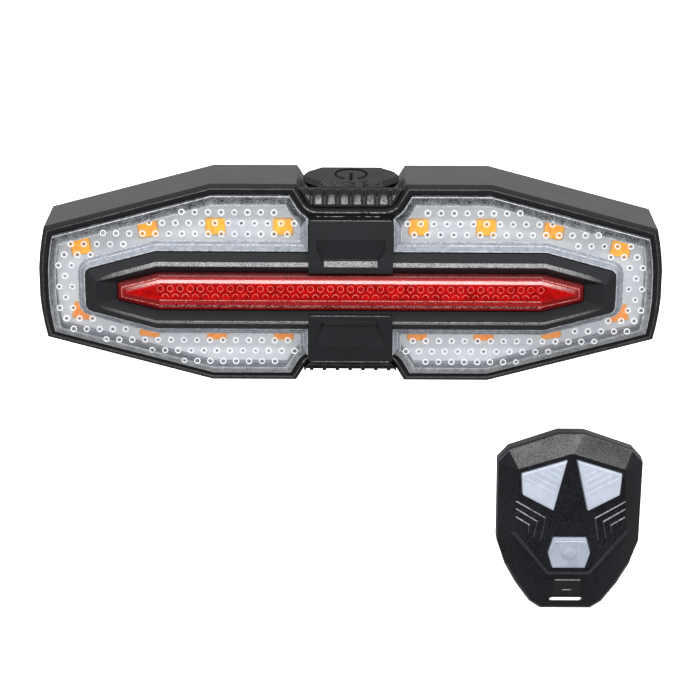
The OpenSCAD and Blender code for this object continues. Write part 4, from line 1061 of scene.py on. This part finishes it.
def bossRing(r, d):
    turns = [2 * math.pi * i / bossLook["around"] for i in range(bossLook["around"])]
    return [onRemote(r * math.cos(a), bossLook["z"] + r * math.sin(a), d) for a in turns]


points = [p for r, d in bossLook["layers"] for p in bossRing(r, d)]
faces = solidFaces(len(bossLook["layers"]), bossLook["around"])
addSolid("modeBoss", points, faces, ["modeKey"], "mode_key", sharp=60)
drawRidges("modeBossRim", [bossRing(bossLook["rim"], bossLook["faceUp"])], bossLook["rimThick"], "keyShade",
           "mode_key", 6, True)
half = bossLook["lineHalf"]
# painted highlight line near the top of the mode key
line = [onRemote(x, bossLook["line"], bossLook["faceUp"]) for x in (-half, 0, half)]
drawRidges("modeLine", [line], bossLook["lineThick"], "keyRidgeHighlight", "mode_key", 6)
dotSpot = onRemote(0, bossLook["z"] + bossLook["dotUp"], bossLook["layers"][-1][1])
setShapes("modeDot", domeShape("modeDot", *bossLook["dot"], 6), [dotSpot], "keyShade", "mode_key")
print("remote done")


# pieces inside, seen only when the part is opened up

inside = {
    "housing_seal": ("housingSeal", "strap", "seal_rubber"),
    "red_light_board": ("redLightBoard", "board", "white_board"),
    "red_light_strip": ("redLightStrip", "redFace", "red_led"),
    "red_board_pins": ("redBoardPins", "brass", "brass_pin"),
    "battery": ("batteryCell", "foil", "cell_foil"),
    "battery_foam": ("batteryFoam", "foam", "foam"),
    "battery_leads": ("batteryLeads", "sleeve", "lead_sleeve"),
    "radio_module": ("radioModule", "green", "green_board"),
    "usb_socket": ("chargingSocket", "steel", "steel"),
    "button_switch": ("buttonSwitch", "switch", "switch_plastic"),
    "assembly_screws": ("shellScrews", "steel", "steel"),
    "remote_board": ("remoteBoard", "green", "green_board"),
    "remote_switches": ("remoteDomes", "switch", "switch_plastic"),
    "remote_coin_cell": ("remoteCell", "steel", "steel"),
    "remote_cell_clip": ("remoteClip", "brass", "brass_pin"),
    "remote_screws": ("remoteScrews", "steel", "steel"),
}
for nodeName, (pieceName, look, slotName) in inside.items():
    dressNode(nodeName, pieceName, [look], soften=0.06, segments=1)
print("inner pieces done:", len(inside))


# floor, light and camera

stageLook = {"floorZ": -62.3, "floorHalf": 4, "floorGlow": 1.1, "horizon": -0.25, "zenith": 0.6,
             "worldLow": 0.5, "worldHigh": 0.85}
z, half = stageLook["floorZ"] * mm, stageLook["floorHalf"]
corners = [(x, y, z) for x, y in rectangle(half, -half, half)]
floor = newObject("floor", newMesh("floor", corners, [(0, 1, 2, 3)]))
floor.data.materials.append(grained("paleFloor", "#f6f6f6", "#ffffff", grain=40, rough=0.8, bump=0.0,
                                    glow=stageLook["floorGlow"]))
floor.visible_glossy = False
floor.visible_diffuse = False
floor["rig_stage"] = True

world = bpy.data.worlds.new("studio")
bpy.context.scene.world = world
world.use_nodes = True
air = world.node_tree
sky = air.nodes["Background"]
sky.inputs["Color"].default_value = (1, 1, 1, 1)
place = air.nodes.new("ShaderNodeTexCoord")
parts = air.nodes.new("ShaderNodeSeparateXYZ")
rise = air.nodes.new("ShaderNodeMapRange")
for label, key in (("From Min", "horizon"), ("From Max", "zenith"), ("To Min", "worldLow"),
                   ("To Max", "worldHigh")):
    rise.inputs[label].default_value = stageLook[key]
air.links.new(place.outputs["Generated"], parts.inputs[0])
air.links.new(parts.outputs["Z"], rise.inputs["Value"])
air.links.new(rise.outputs[0], sky.inputs["Strength"])


def softbox(name, spot, aim, wide, high, glow):
    lamp = bpy.data.lights.new(name, "AREA")
    lamp.shape = "RECTANGLE"
    lamp.size, lamp.size_y = wide, high
    lamp.energy = glow * math.pi * wide * high
    box = newObject(name, lamp)
    box.location = spot
    box.rotation_euler = (Vector(aim) - Vector(spot)).to_track_quat("-Z", "Y").to_euler()


softbox("topBox", spot=(0, 0.05, 0.6), aim=(0, -0.03, 0), wide=0.9, high=0.6, glow=0.9)
softbox("stripBox", spot=(0, -0.42, 0.31), aim=(0, -0.04, 0.0), wide=0.5, high=0.05, glow=16.0)

viewLook = {"spot": (-0.05, -460.04, 132.31), "down": 19.175, "roll": 0.27, "lens": 117.42, "sensor": 36}
view = bpy.data.cameras.new("viewpoint")
view.lens, view.sensor_width = viewLook["lens"], viewLook["sensor"]
view.clip_start, view.clip_end = 0.01, 20
eye = newObject("viewpoint", view)
eye.location = Vector(viewLook["spot"]) * mm
tilt = Matrix.Rotation(math.radians(90 - viewLook["down"]), 3, "X")
eye.rotation_euler = (tilt @ Matrix.Rotation(math.radians(viewLook["roll"]), 3, "Z")).to_euler()
bpy.context.scene.camera = eye
bpy.context.scene.view_settings.view_transform = "Standard"

low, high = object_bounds()
print("box in mm:", [round(c / mm, 2) for c in low], [round(c / mm, 2) for c in high])
